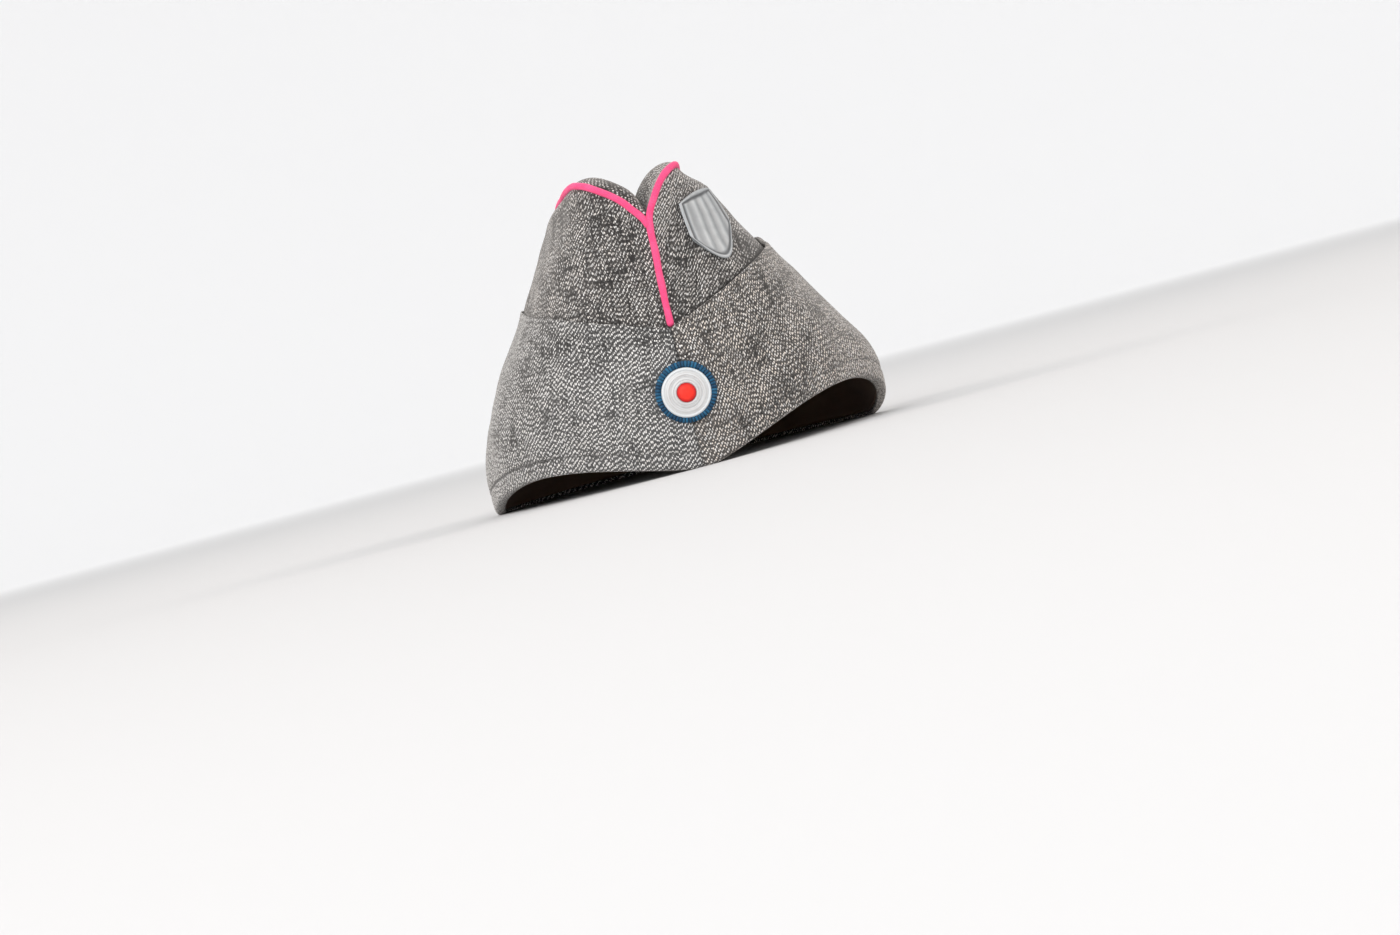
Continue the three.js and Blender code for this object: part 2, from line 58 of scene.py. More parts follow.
SHOULDER_SINK = {LEFT: 5.0, RIGHT: 1.0}
SHOULDER_IN = {LEFT: 7.0, RIGHT: 2.6}
SHOULDER_RISE = {LEFT: 0.9, RIGHT: 0.94}
SHOULDER_ROUND = {LEFT: np.radians((19, 54, 85, 135)), RIGHT: np.radians((28, 58, 90, 135))}
FORK_DIP = {LEFT: 0, RIGHT: 3.9}
FORK_DIP_ROUND = np.radians((0, 7, 12, 42))
FORK_DIP_RISE = 0.65
FLATTEN = {LEFT: 3.0, RIGHT: -0.9}
FLATTEN_ROUND = np.radians((35, 75, 105, 150))
FLATTEN_FOOT, FLATTEN_EASE, FLATTEN_TOP = (0.05, 0.45), (0.5, 0.8), (0.8, 1)
FLATTEN_EASED = 0.75
RIM_SPREAD = {LEFT: 1.6, RIGHT: 0.8}
RIM_SPREAD_RISE = (-0.06, 0.1, 0.14, 0.32)
COCKADE_HEIGHT = 29
PATCH_DEPTH, PATCH_RADIUS, PATCH_FADE = 1.3, 12.5, 26
SEAM_FADE = math.radians(16)
CROWN_CLOTH = 1.1
CROWN_FOOT = 1.6
SIDE_SECTIONS = np.array([
    # angle, ridge x, ridge y, ridge z, belly, curtain z
    (0, 0, -86, 98, 5.5, 53.5),
    (6, 3.4, -84.5, 103, 5.7, 55.5),
    (13, 8.5, -81, 110.5, 6, 58.5),
    (22, 15.5, -75, 116, 6.5, 62.5),
    (33, 21, -65, 118, 7.2, 67),
    (50, 26.5, -46, 117, 7.9, 72.5),
    (75, 30, -15, 113, 8.6, 78),
    (105, 30, 20, 108, 8.6, 80),
    (130, 26.5, 47, 103.5, 7.9, 78),
    (150, 20, 66, 99.5, 7, 75),
    (163, 13, 77, 94.5, 6.2, 72.5),
    (172, 6.5, 83, 89, 5.7, 71),
    (180, 0, 87, 83, 5.5, 70.5),
])


def smooth(value, low, high):
    """0 below low, 1 above high, and an even S between them."""
    t = np.clip((value - low) / (high - low), 0, 1)
    return t * t * (3 - 2 * t)


def between(value, start, full, fade_and_light, end):
    """0 before start and after end, 1 from full to fade, and an even S on either side."""
    return smooth(value, start, full) * (1 - smooth(value, fade_and_light, end))


def unit(vector):
    """A vector's direction, with a length of 1."""
    return vector / np.linalg.norm(vector, axis=-1, keepdims=True)


def on_sections(rows, angle):
    """The columns of a section table at some angles, on a smooth curve through its rows."""
    at, values = rows[:, 0], rows[:, 1:]
    secant = np.diff(values, axis=0) / np.diff(at)[:, None]
    slope = np.vstack((secant[:1], (secant[1:] + secant[:-1]) / 2, secant[-1:]))
    degrees = np.degrees(angle)
    i = np.clip(np.searchsorted(at, degrees, side="right") - 1, 0, len(at) - 2)
    step = (at[i + 1] - at[i])[..., None]
    t = np.clip((degrees - at[i])[..., None] / step, 0, 1)
    start = values[i] * (1 + 2 * t) * (1 - t) ** 2 + slope[i] * step * t * (1 - t) ** 2
    end = values[i + 1] * t**2 * (3 - 2 * t) + slope[i + 1] * step * t**2 * (t - 1)
    return np.moveaxis(start + end, -1, 0)


def rim(side, angle):
    """The rim on the crown's outer face, set on the left, with the arch of either side."""
    along_arch = np.clip((angle - ARCH_START) / (ARCH_END[side] - ARCH_START), 0, 1)
    x = RIM_HALF_WIDTH * np.sin(angle) * (1 - RIM_EGG * np.cos(angle))
    y = -(RIM_HALF_LENGTH - RIM_POINT) * np.cos(angle) - RIM_POINT * (1 - 2 * angle / np.pi)
    z = ARCH_HEIGHT[side] * np.abs(np.sin(np.pi * along_arch)) ** ARCH_POWER
    return np.stack((x, y, z), -1)


def ridge(angle):
    """The ridge, set on the left, before it leans and sinks."""
    x, y, z, _, _ = on_sections(SIDE_SECTIONS, angle)
    return np.stack((x, y, z), -1)


def panel_height(side, angle):
    """The height of the ridge above the rim."""
    return ridge(angle)[..., 2] - rim(side, angle)[..., 2]


def lean(angle, rise):
    """How far a point leans to the left, for its share of the way up from rim to ridge."""
    return FRONT_LEAN * rise**LEAN_POWER * (1 - smooth(angle, 0, LEAN_END))


def sink(side, angle, rise):
    """How far a point sinks at a side whose ridge stands lower."""
    return RIDGE_SINK[side] * np.sin(angle) * rise**2


def fork_dip(side, angle, rise):
    """How far the ridge runs lower beside the fork, where the roll of the top stands over it."""
    return FORK_DIP[side] * between(angle, *FORK_DIP_ROUND) * smooth(rise, FORK_DIP_RISE, 1)


def shoulder(side, angle, rise):
    """How much a point takes of the pull of the top's roll, which presses the ridge down and in."""
    return between(angle, *SHOULDER_ROUND[side]) * smooth(rise, SHOULDER_RISE[side], 1)


def pressed_in(side, angle, rise):
    """How far worn cloth lies flatter at the side, less its spread at the rim below."""
    eased = 1 - FLATTEN_EASED * smooth(rise, *FLATTEN_EASE)
    flat = FLATTEN[side] * smooth(rise, *FLATTEN_FOOT) * eased * (1 - smooth(rise, *FLATTEN_TOP))
    spread = RIM_SPREAD[side] * between(rise, *RIM_SPREAD_RISE)
    return between(angle, *FLATTEN_ROUND) * (flat - spread)


def plain_panel(side, angle, rise):
    """A panel, set on the left, without its lean, its shoulder or the patch under the cockade."""
    belly = on_sections(SIDE_SECTIONS, angle)[3] * np.sin(np.pi * rise * (1 + BELLY_LOW * (1 - rise)))
    belly = belly - pressed_in(side, angle, rise)
    outward = np.stack((np.sin(angle), -np.cos(angle), np.zeros_like(angle)), -1)
    low, high = rim(side, angle), ridge(angle)
    return low + (high - low) * rise[..., None] + outward * belly[..., None]


FRONT_RIDGE_Z = SIDE_SECTIONS[0, 3]
PATCH_Y = plain_panel(LEFT, np.zeros(1), np.full(1, COCKADE_HEIGHT / FRONT_RIDGE_Z))[0, 1] + PATCH_DEPTH


def clear_of_patch(angle, x, z):
    """0 where the cockade presses the cloth flat, and 1 well away from it."""
    clear = smooth(np.hypot(x, z - COCKADE_HEIGHT), PATCH_RADIUS, PATCH_FADE)
    return np.where(angle < np.pi / 2, clear, 1)


def pull_down(side, angle, rise, x, y, z):
    """A point set on the left, moved to its side, with its lean and all that lowers it."""
    pull = shoulder(side, angle, rise)
    x = side * (x - SHOULDER_IN[side] * pull) + lean(angle, rise)
    lower = sink(side, angle, rise) + fork_dip(side, angle, rise) + SHOULDER_SINK[side] * pull
    return np.stack((x, y, z - lower), -1)


def panel(side, angle, rise):
    """A point on the outer face of a panel, before its dents."""
    x, y, z = np.moveaxis(plain_panel(side, angle, rise), -1, 0)
    clear = clear_of_patch(angle, x, z)
    return pull_down(side, angle, rise, x, PATCH_Y + (y - PATCH_Y) * clear, z)


def ridge_seam(side, angle):
    """The ridge seam of a side."""
    return pull_down(side, angle, 1, *np.moveaxis(ridge(angle), -1, 0))


NEAR = 0.004


def panel_normal(side, angle, rise):
    """The outward direction there, which looks straight ahead at the front and back seams."""
    behind, ahead = [panel(side, np.clip(angle + step, 0, np.pi), rise) for step in (-NEAR, NEAR)]
    below, above = [panel(side, angle, np.clip(rise + step, 0, 1)) for step in (-NEAR, NEAR)]
    normal = side * np.cross(ahead - behind, above - below)
    normal[..., 0] *= smooth(np.sin(angle), 0, math.sin(SEAM_FADE))
    return unit(normal)


DENT_RISE = (0, 0.12, 0.9, 1)
DENT_SCALES = [
    # size of the dents across, depth
    (46, 2.0),
    (19, 0.8),
    (8, 0.2),
]


def dents(point, angle, rise):
    """The shallow dents of worn cloth, which die out towards the rim, the ridges and the cockade."""
    depth = np.zeros(angle.shape)
    for size, height in DENT_SCALES:
        waves = [noise.noise(Vector(p) / size + Vector((size, 0, 0))) for p in point.reshape(-1, 3)]
        depth += height * np.reshape(waves, angle.shape)
    return depth * clear_of_patch(angle, point[..., 0], point[..., 2]) * between(rise, *DENT_RISE)


def off_panel(side, angle, rise, distance):
    """A point at a distance out from the outer face of the crown, dents included."""
    angle, rise, distance = np.broadcast_arrays(angle, rise, distance)
    point = panel(side, angle, rise)
    out = distance + dents(point, angle, rise)
    return point + panel_normal(side, angle, rise) * out[..., None]


def rise_at(side, angle, height):
    """The share of the way from rim to ridge at a height above the rim."""
    return height / panel_height(side, angle)


def length_along(points, axis):
    """The length run from the first point of each line, along one axis of a grid of points."""
    first = np.take(points, [0], axis)
    return np.linalg.norm(np.diff(points, axis=axis, prepend=first), axis=-1).cumsum(axis)


def mark(mesh, title, values):
    """Writes a value for each vertex, which materials read by its title."""
    mesh.attributes.new(title, "FLOAT", "POINT").data.foreach_set("value", values)


def lay_grid(name, columns, rows, place, zero=0, tuck=None, grain=0.0, wear=None):
    """A grid of quads whose points lie where place says for shares from 0 to 1 along its two sides.
    The UV map gives the lengths along it in metres from column zero, or from the nearer end of the row
    if zero is None, turned by the angle of the cloth's grain.
    One attribute holds painted shade for seams, slits, folds and grooves, and another how much a piece
    is rubbed and how much painted light it takes."""
    bpy.ops.object.select_all(action="DESELECT")
    bpy.ops.mesh.primitive_grid_add(x_subdivisions=columns, y_subdivisions=rows, size=1)
    piece = bpy.context.object
    piece.name = piece.data.name = name
    mesh = piece.data
    flat = np.empty((len(mesh.vertices), 3))
    mesh.vertices.foreach_get("co", flat.reshape(-1))
    column = np.rint((flat[:, 0] + 0.5) * columns).astype(int)
    row = np.rint((flat[:, 1] + 0.5) * rows).astype(int)
    shares = np.meshgrid(np.linspace(0, 1, columns + 1), np.linspace(0, 1, rows + 1))
    points = (place(*shares) + (0, CENTRE_Y, 0)) * MM
    mesh.vertices.foreach_set("co", points[row, column].ravel())
    across, along = length_along(points, 1), length_along(points, 0)
    if zero is None:
        across[:, columns // 2:] -= across[:, [-1]]
    else:
        across -= across[:, [zero]]
    u = across * math.cos(grain) + along * math.sin(grain)
    v = along * math.cos(grain) - across * math.sin(grain)
    corner = np.empty(len(mesh.loops), int)
    mesh.loops.foreach_get("vertex_index", corner)
    lengths = np.stack((u, v), -1)[row, column]
    mesh.uv_layers.active.data.foreach_set("uv", lengths[corner].ravel())
    for title, field in (("tuck", tuck), ("wear", wear)):
        if field:
            mark(mesh, title, field(*shares)[row, column])
    bpy.ops.object.shade_smooth()
    return piece


def thicken(piece, thickness):
    """Gives cloth or plate its thickness, inwards from the face that was laid."""
    bpy.context.view_layer.objects.active = piece
    solid = piece.modifiers.new("solidify", "SOLIDIFY")
    solid.thickness, solid.offset = thickness * MM, -1
    bpy.ops.object.modifier_apply(modifier=solid.name)


class Signal:
    """An output of a node in a material, which plain arithmetic adds Math nodes to."""

    def __init__(self, tree, socket=None):
        self.tree, self.socket = tree, socket

    def node(self, kind, settings=None, inputs=None, output=0):
        """One output of a new node with its settings, then the values or links of its sockets."""
        made = self.tree.nodes.new("ShaderNode" + kind)
        for name, value in (settings or {}).items():
            if name == "stops":
                while len(made.color_ramp.elements) < len(value):
                    made.color_ramp.elements.new(1)
                for element, (place, colour) in zip(made.color_ramp.elements, value):
                    element.position, element.color = place, colour
            else:
                setattr(made, name, value)
        for name, value in (inputs or {}).items():
            if isinstance(value, Signal):
                self.tree.links.new(value.socket, made.inputs[name])
            else:
                made.inputs[name].default_value = value
        return Signal(self.tree, made.outputs[output])

    def math(self, operation, *values):
        return self.node("Math", {"operation": operation}, dict(enumerate(values)))

    def __add__(self, other):
        return self.math("ADD", self, other)

    def __sub__(self, other):
        return self.math("SUBTRACT", self, other)

    def __rsub__(self, other):
        return self.math("SUBTRACT", other, self)

    def __mul__(self, other):
        return self.math("MULTIPLY", self, other)

    def __truediv__(self, other):
        return self.math("DIVIDE", self, other)

    def __mod__(self, other):
        return self.math("FLOORED_MODULO", self, other)

    def __pow__(self, other):
        return self.math("POWER", self, other)

    def __lt__(self, other):
        return self.math("LESS_THAN", self, other)

    __radd__, __rmul__ = __add__, __mul__

    def floor(self):
        return self.math("FLOOR", self)

    def clamp(self):
        """This, kept from 0 to 1."""
        return self.node("Clamp", None, {0: self})

    def blend(self, first, second):
        """The colour first where this is 0 and second where it is 1."""
        return self.node("Mix", {"data_type": "RGBA"}, {0: self, 6: first, 7: second}, 2)


def new_material(name, **constants):
    """A material with constants on its shader, as (material, start of its node tree, shader)."""
    material = bpy.data.materials.new(name)
    material.use_nodes = True
    shader = material.node_tree.nodes["Principled BSDF"]
    for socket, value in constants.items():
        shader.inputs[socket.replace("_", " ")].default_value = value
    return material, Signal(material.node_tree), shader


def drive(shader, **signals):
    """Links signals to the shader's sockets."""
    for socket, signal in signals.items():
        signal.tree.links.new(signal.socket, shader.inputs[socket.replace("_", " ")])


def cloud(place, scale, detail, settings=None, output=0):
    """Cloudy noise over places."""
    return place.node("TexNoise", settings, {"Vector": place, "Scale": scale, "Detail": detail}, output)


def split(place, letters):
    """Single numbers of a place or a colour."""
    return [place.node("SeparateXYZ", None, {0: place}, letter) for letter in letters]


def marked(start, title):
    """What was marked on the mesh."""
    return start.node("Attribute", {"attribute_name": title}, None, "Fac")


# Materials count in metres, as the UV map does, and the twill then counts in yarns.
YARN_ACROSS, YARN_ALONG = 0.00061, 0.00072
TWILL = 3
IN_PLANE = {"noise_dimensions": "2D"}
DRIFT_SCALE, DRIFT = 60.0, 4
SHAKE_SCALE, SHAKE = 900.0, 0.9
SLIP, SLIP_EVERY = 1.2, 11
FLOAT_MIDDLE, FLOAT_ASIDE, FLOAT_HALF_WIDTH = 0.42, 0.16, 0.48
FLOAT_START, FLOAT_AHEAD = 1.2, 0.6
FLOAT_HALF_LENGTH, FLOAT_LONGER = 0.5, 0.35
STREAK_ACROSS, STREAK_ALONG = 0.61, 0.04
FIBRE_SCALE, BLOTCH_SCALE = 3000.0, 80.0
WARP_UNEVEN, WEFT_UNEVEN, BLOTCH_UNEVEN, PALE_UNEVEN = 1.5, 1.2, 1.3, 0.15
FLOAT_LUCK, FLOAT_PALE, FLOAT_UNEVEN = 0.9, 0.14, 1.1
GROUND_FIBRE, GROUND_DARK, GROUND_WEAR_AND_LIGHT, GROUND_UNEVEN = 1.3, 0.4, 1.5, 0.8
YARN_FIBRE, YARN_PALE = 0.5, 0.8
SEAM_COVER = 0.95
FLOAT_RELIEF, FIBRE_RELIEF = 0.7, 0.35
NAP_STRENGTH, NAP_DEPTH = 0.5, 0.0003
SEAM_SHADE = (0.006, 0.006, 0.006, 1)
COOL_YARN = (0.88, 0.87, 0.86, 1)
WOOL_SHEEN = (1, 0.94, 0.88, 1)


def wool_twill(name, cream, black, grey, fade_and_light):
    """Twill whose cream floats climb one yarn a step on a ground of black and grey yarn.
    More of the cream shows all over by a fade, which stands for faded wool and also for painted light
    and shade, and in places by rubbing and by painted light."""
    material, start, shader = new_material(name, Roughness=0.9, Sheen_Weight=0.3, Sheen_Roughness=0.5)
    shader.inputs["Sheen Tint"].default_value = WOOL_SHEEN
    uv = start.node("UVMap")
    drift, shake = [cloud(uv, scale, 2.0, IN_PLANE, "Color") for scale in (DRIFT_SCALE, SHAKE_SCALE)]
    across, along = [
        place / yarn + (bend - 0.5) * DRIFT + (tremble - 0.5) * SHAKE
        for yarn, place, bend, tremble in zip(
            (YARN_ACROSS, YARN_ALONG), split(uv, "XY"), split(drift, "XY"), split(shake, "XY")
        )
    ]
    column, row = across.floor(), along.floor()
    stretch = start.node("CombineXYZ", None, {0: column, 1: (along / SLIP_EVERY).floor()})
    slip = start.node("TexWhiteNoise", IN_PLANE, {"Vector": stretch}, "Value")
    climb = along - column + slip * SLIP
    repeat = (climb / TWILL).floor()
    lot = start.node("CombineXYZ", None, {0: column, 1: repeat})
    luck, shift, size = split(start.node("TexWhiteNoise", IN_PLANE, {"Vector": lot}, "Color"), "XYZ")
    side = (across - column - FLOAT_MIDDLE - shift * FLOAT_ASIDE) / FLOAT_HALF_WIDTH
    half_length = shift * FLOAT_LONGER + FLOAT_HALF_LENGTH
    end = (climb - repeat * TWILL - FLOAT_START - size * FLOAT_AHEAD) / half_length
    float_yarn = (1 - side * side - end * end).clamp() ** 0.5
    warp, weft = [
        cloud(start.node("CombineXYZ", None, {0: x, 1: y}), 1.0, 1.0, IN_PLANE)
        for x, y in (
            (column * STREAK_ACROSS, along * STREAK_ALONG),
            (across * STREAK_ALONG, row * STREAK_ACROSS),
        )
    ]
    fibre = cloud(uv, FIBRE_SCALE, 2.0, IN_PLANE)
    blotch = cloud(uv, BLOTCH_SCALE, 3.0, IN_PLANE)
    pale_yarns = ((column % TWILL) < 0.5) + ((row % TWILL) < 0.5)
    uneven = (warp - 0.5) * WARP_UNEVEN + (weft - 0.5) * WEFT_UNEVEN + (blotch - 0.5) * BLOTCH_UNEVEN
    uneven = uneven + (pale_yarns - 2 / TWILL) * PALE_UNEVEN
    wear, tuck = marked(start, "wear"), marked(start, "tuck")
    # Rubbing and painted light both lighten the yarn and the ground through the marked wear.
    bright = (luck * luck * FLOAT_LUCK + fade_and_light + FLOAT_PALE + wear + uneven * FLOAT_UNEVEN).clamp()
    pale_share = fibre * GROUND_FIBRE - GROUND_DARK + fade_and_light + wear * GROUND_WEAR_AND_LIGHT
    ground = (pale_share + uneven * GROUND_UNEVEN).clamp().blend(black, grey)
    shown = (float_yarn * bright * (fibre * YARN_FIBRE + YARN_PALE)).clamp()
    colour = shown.blend(ground, size.blend(cream, COOL_YARN))
    # Painted shade: the marked shade turns the cloth near black in seams, slits, the valley's fold and
    # along the stitches.
    colour = (tuck * SEAM_COVER).clamp().blend(colour, SEAM_SHADE)
    height = float_yarn * FLOAT_RELIEF + fibre * FIBRE_RELIEF
    bump = start.node("Bump", None, {"Strength": NAP_STRENGTH, "Distance": NAP_DEPTH, "Height": height})
    drive(shader, Base_Color=colour, Normal=bump)
    return material


# The crown's twill is given a lower fade than the curtain's, as painted shade for the crown lying darker
# under the light.
CROWN_WOOL = wool_twill(
    "crown_twill",
    cream=(0.88, 0.82, 0.76, 1),
    black=(0.011, 0.010, 0.010, 1),
    grey=(0.078, 0.072, 0.068, 1),
    fade_and_light=0.19,
)
PANEL_COLUMNS, PANEL_ROWS = 170, 72
PANEL_HEIGHT = 118
SEAM_DIP, SEAM_DIP_WIDTH = 0.7, 1.7
ALLOWANCE_LIFT, ALLOWANCE_START, ALLOWANCE_END = 0.3, 6, 10
SEAM_PER_ANGLE = 57
CURTAIN_COVER = (0.42, 0.55)
CROWDING = 0.72
EDGE_RAISE = {LEFT: 4.0, RIGHT: -1.5}
# Painted shade in the slit under the curtain's edge and beside the seams.
SLIT_SHADE = {LEFT: 1.3, RIGHT: 0.45}
SLIT_NARROW, SLIT_WIDE = 0.6, 1.6
SLIT_OPENS = np.radians((2, 14))
SEAM_DARK, SEAM_DARK_WIDTH = 0.78, 2.6
FRONT_COLUMN = {LEFT: 0, RIGHT: -1}
CROWN_GRAIN = {LEFT: math.radians(-26), RIGHT: math.radians(4)}
RIDGE_WEAR = {LEFT: 0.5, RIGHT: 0}
RIDGE_WEAR_RISE = (0.8, 0.95)
RIDGE_WEAR_ROUND = np.radians((20, 40))


def seam_sink(gap):
    """How deep the cloth dips at a distance from a seam, less the lift of the allowance beside it."""
    lift = ALLOWANCE_LIFT * (1 - smooth(gap, ALLOWANCE_START, ALLOWANCE_END))
    return SEAM_DIP * np.exp(-((gap / SEAM_DIP_WIDTH) ** 2)) - lift


def seam_gap(angle):
    """The distance along the cloth from the nearer of the front and back seams."""
    return np.minimum(angle, np.pi - angle) * SEAM_PER_ANGLE


def crowd(share):
    """Shares from 0 to 1 that lie closer together towards both ends."""
    return share - CROWDING * np.sin(2 * np.pi * share) / (2 * np.pi)


def from_front(side, share):
    """The angle at a share of a panel's width, so that the cloth's face looks out on both sides."""
    return np.pi * crowd(share if side == LEFT else 1 - share)


def curtain_edge(side, angle):
    """The height above the rim of the folded edge of the curtain that covers the crown."""
    edge_z = on_sections(SIDE_SECTIONS, angle)[4] + EDGE_RAISE[side] * np.sin(angle)
    return edge_z - rim(side, angle)[..., 2]


def crown_place(side, across, up):
    """The angle and rise at a share of a panel's width and height."""
    angle = from_front(side, across)
    first = rise_at(side, angle, CROWN_FOOT)
    return angle, first + (1 - first) * crowd(up)


for side, name in ((LEFT, "crown_left"), (RIGHT, "crown_right")):

    def crown_cloth(across, up):
        angle, rise = crown_place(side, across, up)
        above_curtain = smooth(rise, *CURTAIN_COVER)
        dip = seam_sink((1 - rise) * PANEL_HEIGHT) + seam_sink(seam_gap(angle)) * above_curtain
        return off_panel(side, angle, rise, -dip)

    # Painted shade on the crown, in the slit under the curtain's edge and beside the ridge, front and
    # back seams.
    def crown_painted_shade(across, up):
        angle, rise = crown_place(side, across, up)
        opening = smooth(angle, *SLIT_OPENS)
        above_edge = rise * panel_height(side, angle) - curtain_edge(side, angle)
        slit_width = SLIT_NARROW + (SLIT_WIDE - SLIT_NARROW) * opening
        slit = SLIT_SHADE[side] * opening * (1 - above_edge / slit_width)
        seam = np.minimum((1 - rise) * PANEL_HEIGHT, seam_gap(angle))
        return np.maximum(slit, SEAM_DARK * (1 - seam / SEAM_DARK_WIDTH))

    def crown_wear(across, up):
        angle, rise = crown_place(side, across, up)
        return RIDGE_WEAR[side] * smooth(rise, *RIDGE_WEAR_RISE) * (1 - smooth(angle, *RIDGE_WEAR_ROUND))

    crown = lay_grid(
        f"{name}_cloth", PANEL_COLUMNS, PANEL_ROWS, crown_cloth,
        zero=FRONT_COLUMN[side], tuck=crown_painted_shade, grain=CROWN_GRAIN[side], wear=crown_wear,
    )
    thicken(crown, CROWN_CLOTH)
    crown.data.materials.append(CROWN_WOOL)
    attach(crown, "root")
    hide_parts(name)

# The top is one long piece of the same twill, sewn to both panels along the ridges.
# It rolls up out of each seam and folds down between them, so that the cap can be laid flat.
VALLEY_HALF_WIDTH, VALLEY_SHARE = 0.35, 0.5
VALLEY_CLOSES = 12
VALLEY_BEND = 4
VALLEY_BEND_ROUND = np.radians((13, 42, 95, 150))
ROLL_FRONT = np.radians((22, 40))
ROLL_UP_LESS = {LEFT: 0, RIGHT: 0.5}
ROLL_UP_MORE = {LEFT: 3.4, RIGHT: -0.4}
ROLL_IN_LESS = {LEFT: 4.6, RIGHT: 0}
FOLD_STEEP_FRONT = {LEFT: 0.6, RIGHT: 1}
FOLD_STEEP_BACK = {LEFT: 0.88, RIGHT: 1}
FOLD_STEEP_ROUND = np.radians((18, 38))
# Painted shade deep in the valley's fold and beside the seams.
FOLD_DARK, FOLD_DARK_FROM = 0.8, (0.55, 0.9)
ROLL_PAINTED_LIGHT, ROLL_LIGHT_END = 0.45, (0.45, 0.8)
TOP_FIRST, TOP_LAST = math.radians(0.8), math.radians(179.2)
TOP_COLUMNS, TOP_ROWS = 140, 72
TOP_CLOTH = 0.9
TOP_HALF_WIDTH = 40
TOP_SECTIONS = np.array([
    # angle, floor y, floor z, roll in, roll up, fold
    (0, -84, 97, 0.5, 0.5, 1),
    (6, -79, 97.5, 2.2, 1.2, 5),
    (13, -72, 96.5, 4.5, 2, 12.5),
    (22, -64, 94.5, 6, 3.5, 20),
    (33, -55, 92.5, 7, 4.5, 27),
    (50, -40, 91, 7, 4.5, 28),
    (75, -13, 89, 6, 4, 25),
    (105, 20, 86, 5, 4, 22),
    (130, 44, 84, 4.5, 4, 18),
    (150, 60, 82, 4, 3.5, 14),
    (163, 69, 81, 4, 2.5, 10),
    (172, 75, 81.5, 3, 1.5, 5),
    (180, 83, 82, 0.5, 0.5, 1),
])


def half_top(side, angle, t):
    """One half of the top, where t goes from the ridge seam at 0 to the valley's floor at 1."""
    x, y, z = np.moveaxis(ridge(angle), -1, 0)
    floor_y, floor_z, roll_in, roll_up, fold = on_sections(TOP_SECTIONS, angle)
    half = np.minimum(VALLEY_HALF_WIDTH, x * VALLEY_SHARE)
    bend = -side * VALLEY_BEND * between(angle, *VALLEY_BEND_ROUND)
    front_roll = 1 - smooth(angle, *ROLL_FRONT)
    roll_up = roll_up * (1 - ROLL_UP_LESS[side] * front_roll) + ROLL_UP_MORE[side] * (1 - front_roll)
    roll_in = roll_in - ROLL_IN_LESS[side] * smooth(angle, 0, ROLL_FRONT[0])
    roll_x = x - roll_in - SHOULDER_IN[side] * shoulder(side, angle, 1)
    steep = smooth(angle, *FOLD_STEEP_ROUND)
    fold = fold * (FOLD_STEEP_FRONT[side] * (1 - steep) + FOLD_STEEP_BACK[side] * steep)

    def corner(x, y, z):
        return np.stack((side * x + lean(angle, 1), y, z - sink(side, angle, 1)), -1)

    corners = np.stack([
        ridge_seam(side, angle),
        corner(roll_x, y, z + roll_up),
        corner(half + bend, floor_y, floor_z + fold),
        corner(half * np.minimum(1, (1 - t) * VALLEY_CLOSES) + bend, floor_y, floor_z),
    ])
    weights = np.stack(((1 - t) ** 3, 3 * t * (1 - t) ** 2, 3 * t**2 * (1 - t), t**3))[..., None]
    return (corners * weights).sum(axis=0)


def from_seam(across):
    """0 at both seams of the top and 1 at the valley's floor."""
    return 1 - np.abs(2 * across - 1)


def top_cloth(across, back):
    """The top from its right seam down into the valley and up to its left seam."""
    angle = TOP_FIRST + (TOP_LAST - TOP_FIRST) * back
    left, right = [half_top(side, angle, from_seam(across)) for side in (LEFT, RIGHT)]
    return np.where((across > 0.5)[..., None], left, right)


def top_painted_shade(across, back):
    """Painted shade on the top, beside its seams and deep in the valley."""
    seam = SEAM_DARK * (1 - from_seam(across) * TOP_HALF_WIDTH / SEAM_DARK_WIDTH)
    return np.maximum(seam, FOLD_DARK * smooth(from_seam(across), *FOLD_DARK_FROM))


def top_painted_light(across, back):
    """Painted light: the roll of the left side is made paler where it catches the light."""
    return ROLL_PAINTED_LIGHT * (across > 0.5) * (1 - smooth(from_seam(across), *ROLL_LIGHT_END))


top = lay_grid(
    "crown_top_cloth", TOP_COLUMNS, TOP_ROWS, top_cloth,
    zero=None, tuck=top_painted_shade, wear=top_painted_light,
)
thicken(top, TOP_CLOTH)
top.data.materials.append(CROWN_WOOL)
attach(top, "root")
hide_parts("crown_top")

# The piping is a bias strip of pink wool felt folded round a thin cord and caught in the seams.
# The left one runs along its ridge and on down the front seam.
# The right one runs along the other ridge and ends against the left one at the fork.
PIPING_RADIUS = 1.4
PIPING_UNEVEN, UNEVEN_SIZE = 0.09, 5
PIPING_WANDER, WANDER_SIZE = 0.22, 9
WANDER_SHIFTS = [(0, 0, 3), (7, 0, 3), (14, 0, 3)]
STEM_START = {LEFT: 54.2 / FRONT_RIDGE_Z, RIGHT: 0.95}
STEM_TOP = {LEFT: 0.97, RIGHT: 0.985}
STEM_BESIDE = {LEFT: 0, RIGHT: -2.2}
STEM_PARTS = (0.945, 1.0)
STEM_POINTS, RIDGE_POINTS = 60, 400
RIDGE_START = {LEFT: math.radians(1), RIGHT: math.radians(5)}
RIDGE_END = math.radians(177.6)
PIPING_STEPS, PIPING_SIDES = 300, 12
PIPING_EASE = 9
PIPING_END_STEPS = 2


def at_length(path, length, where):
    """The points of a path at some lengths along it."""
    return np.stack([np.interp(where, length, line) for line in path.T], -1)


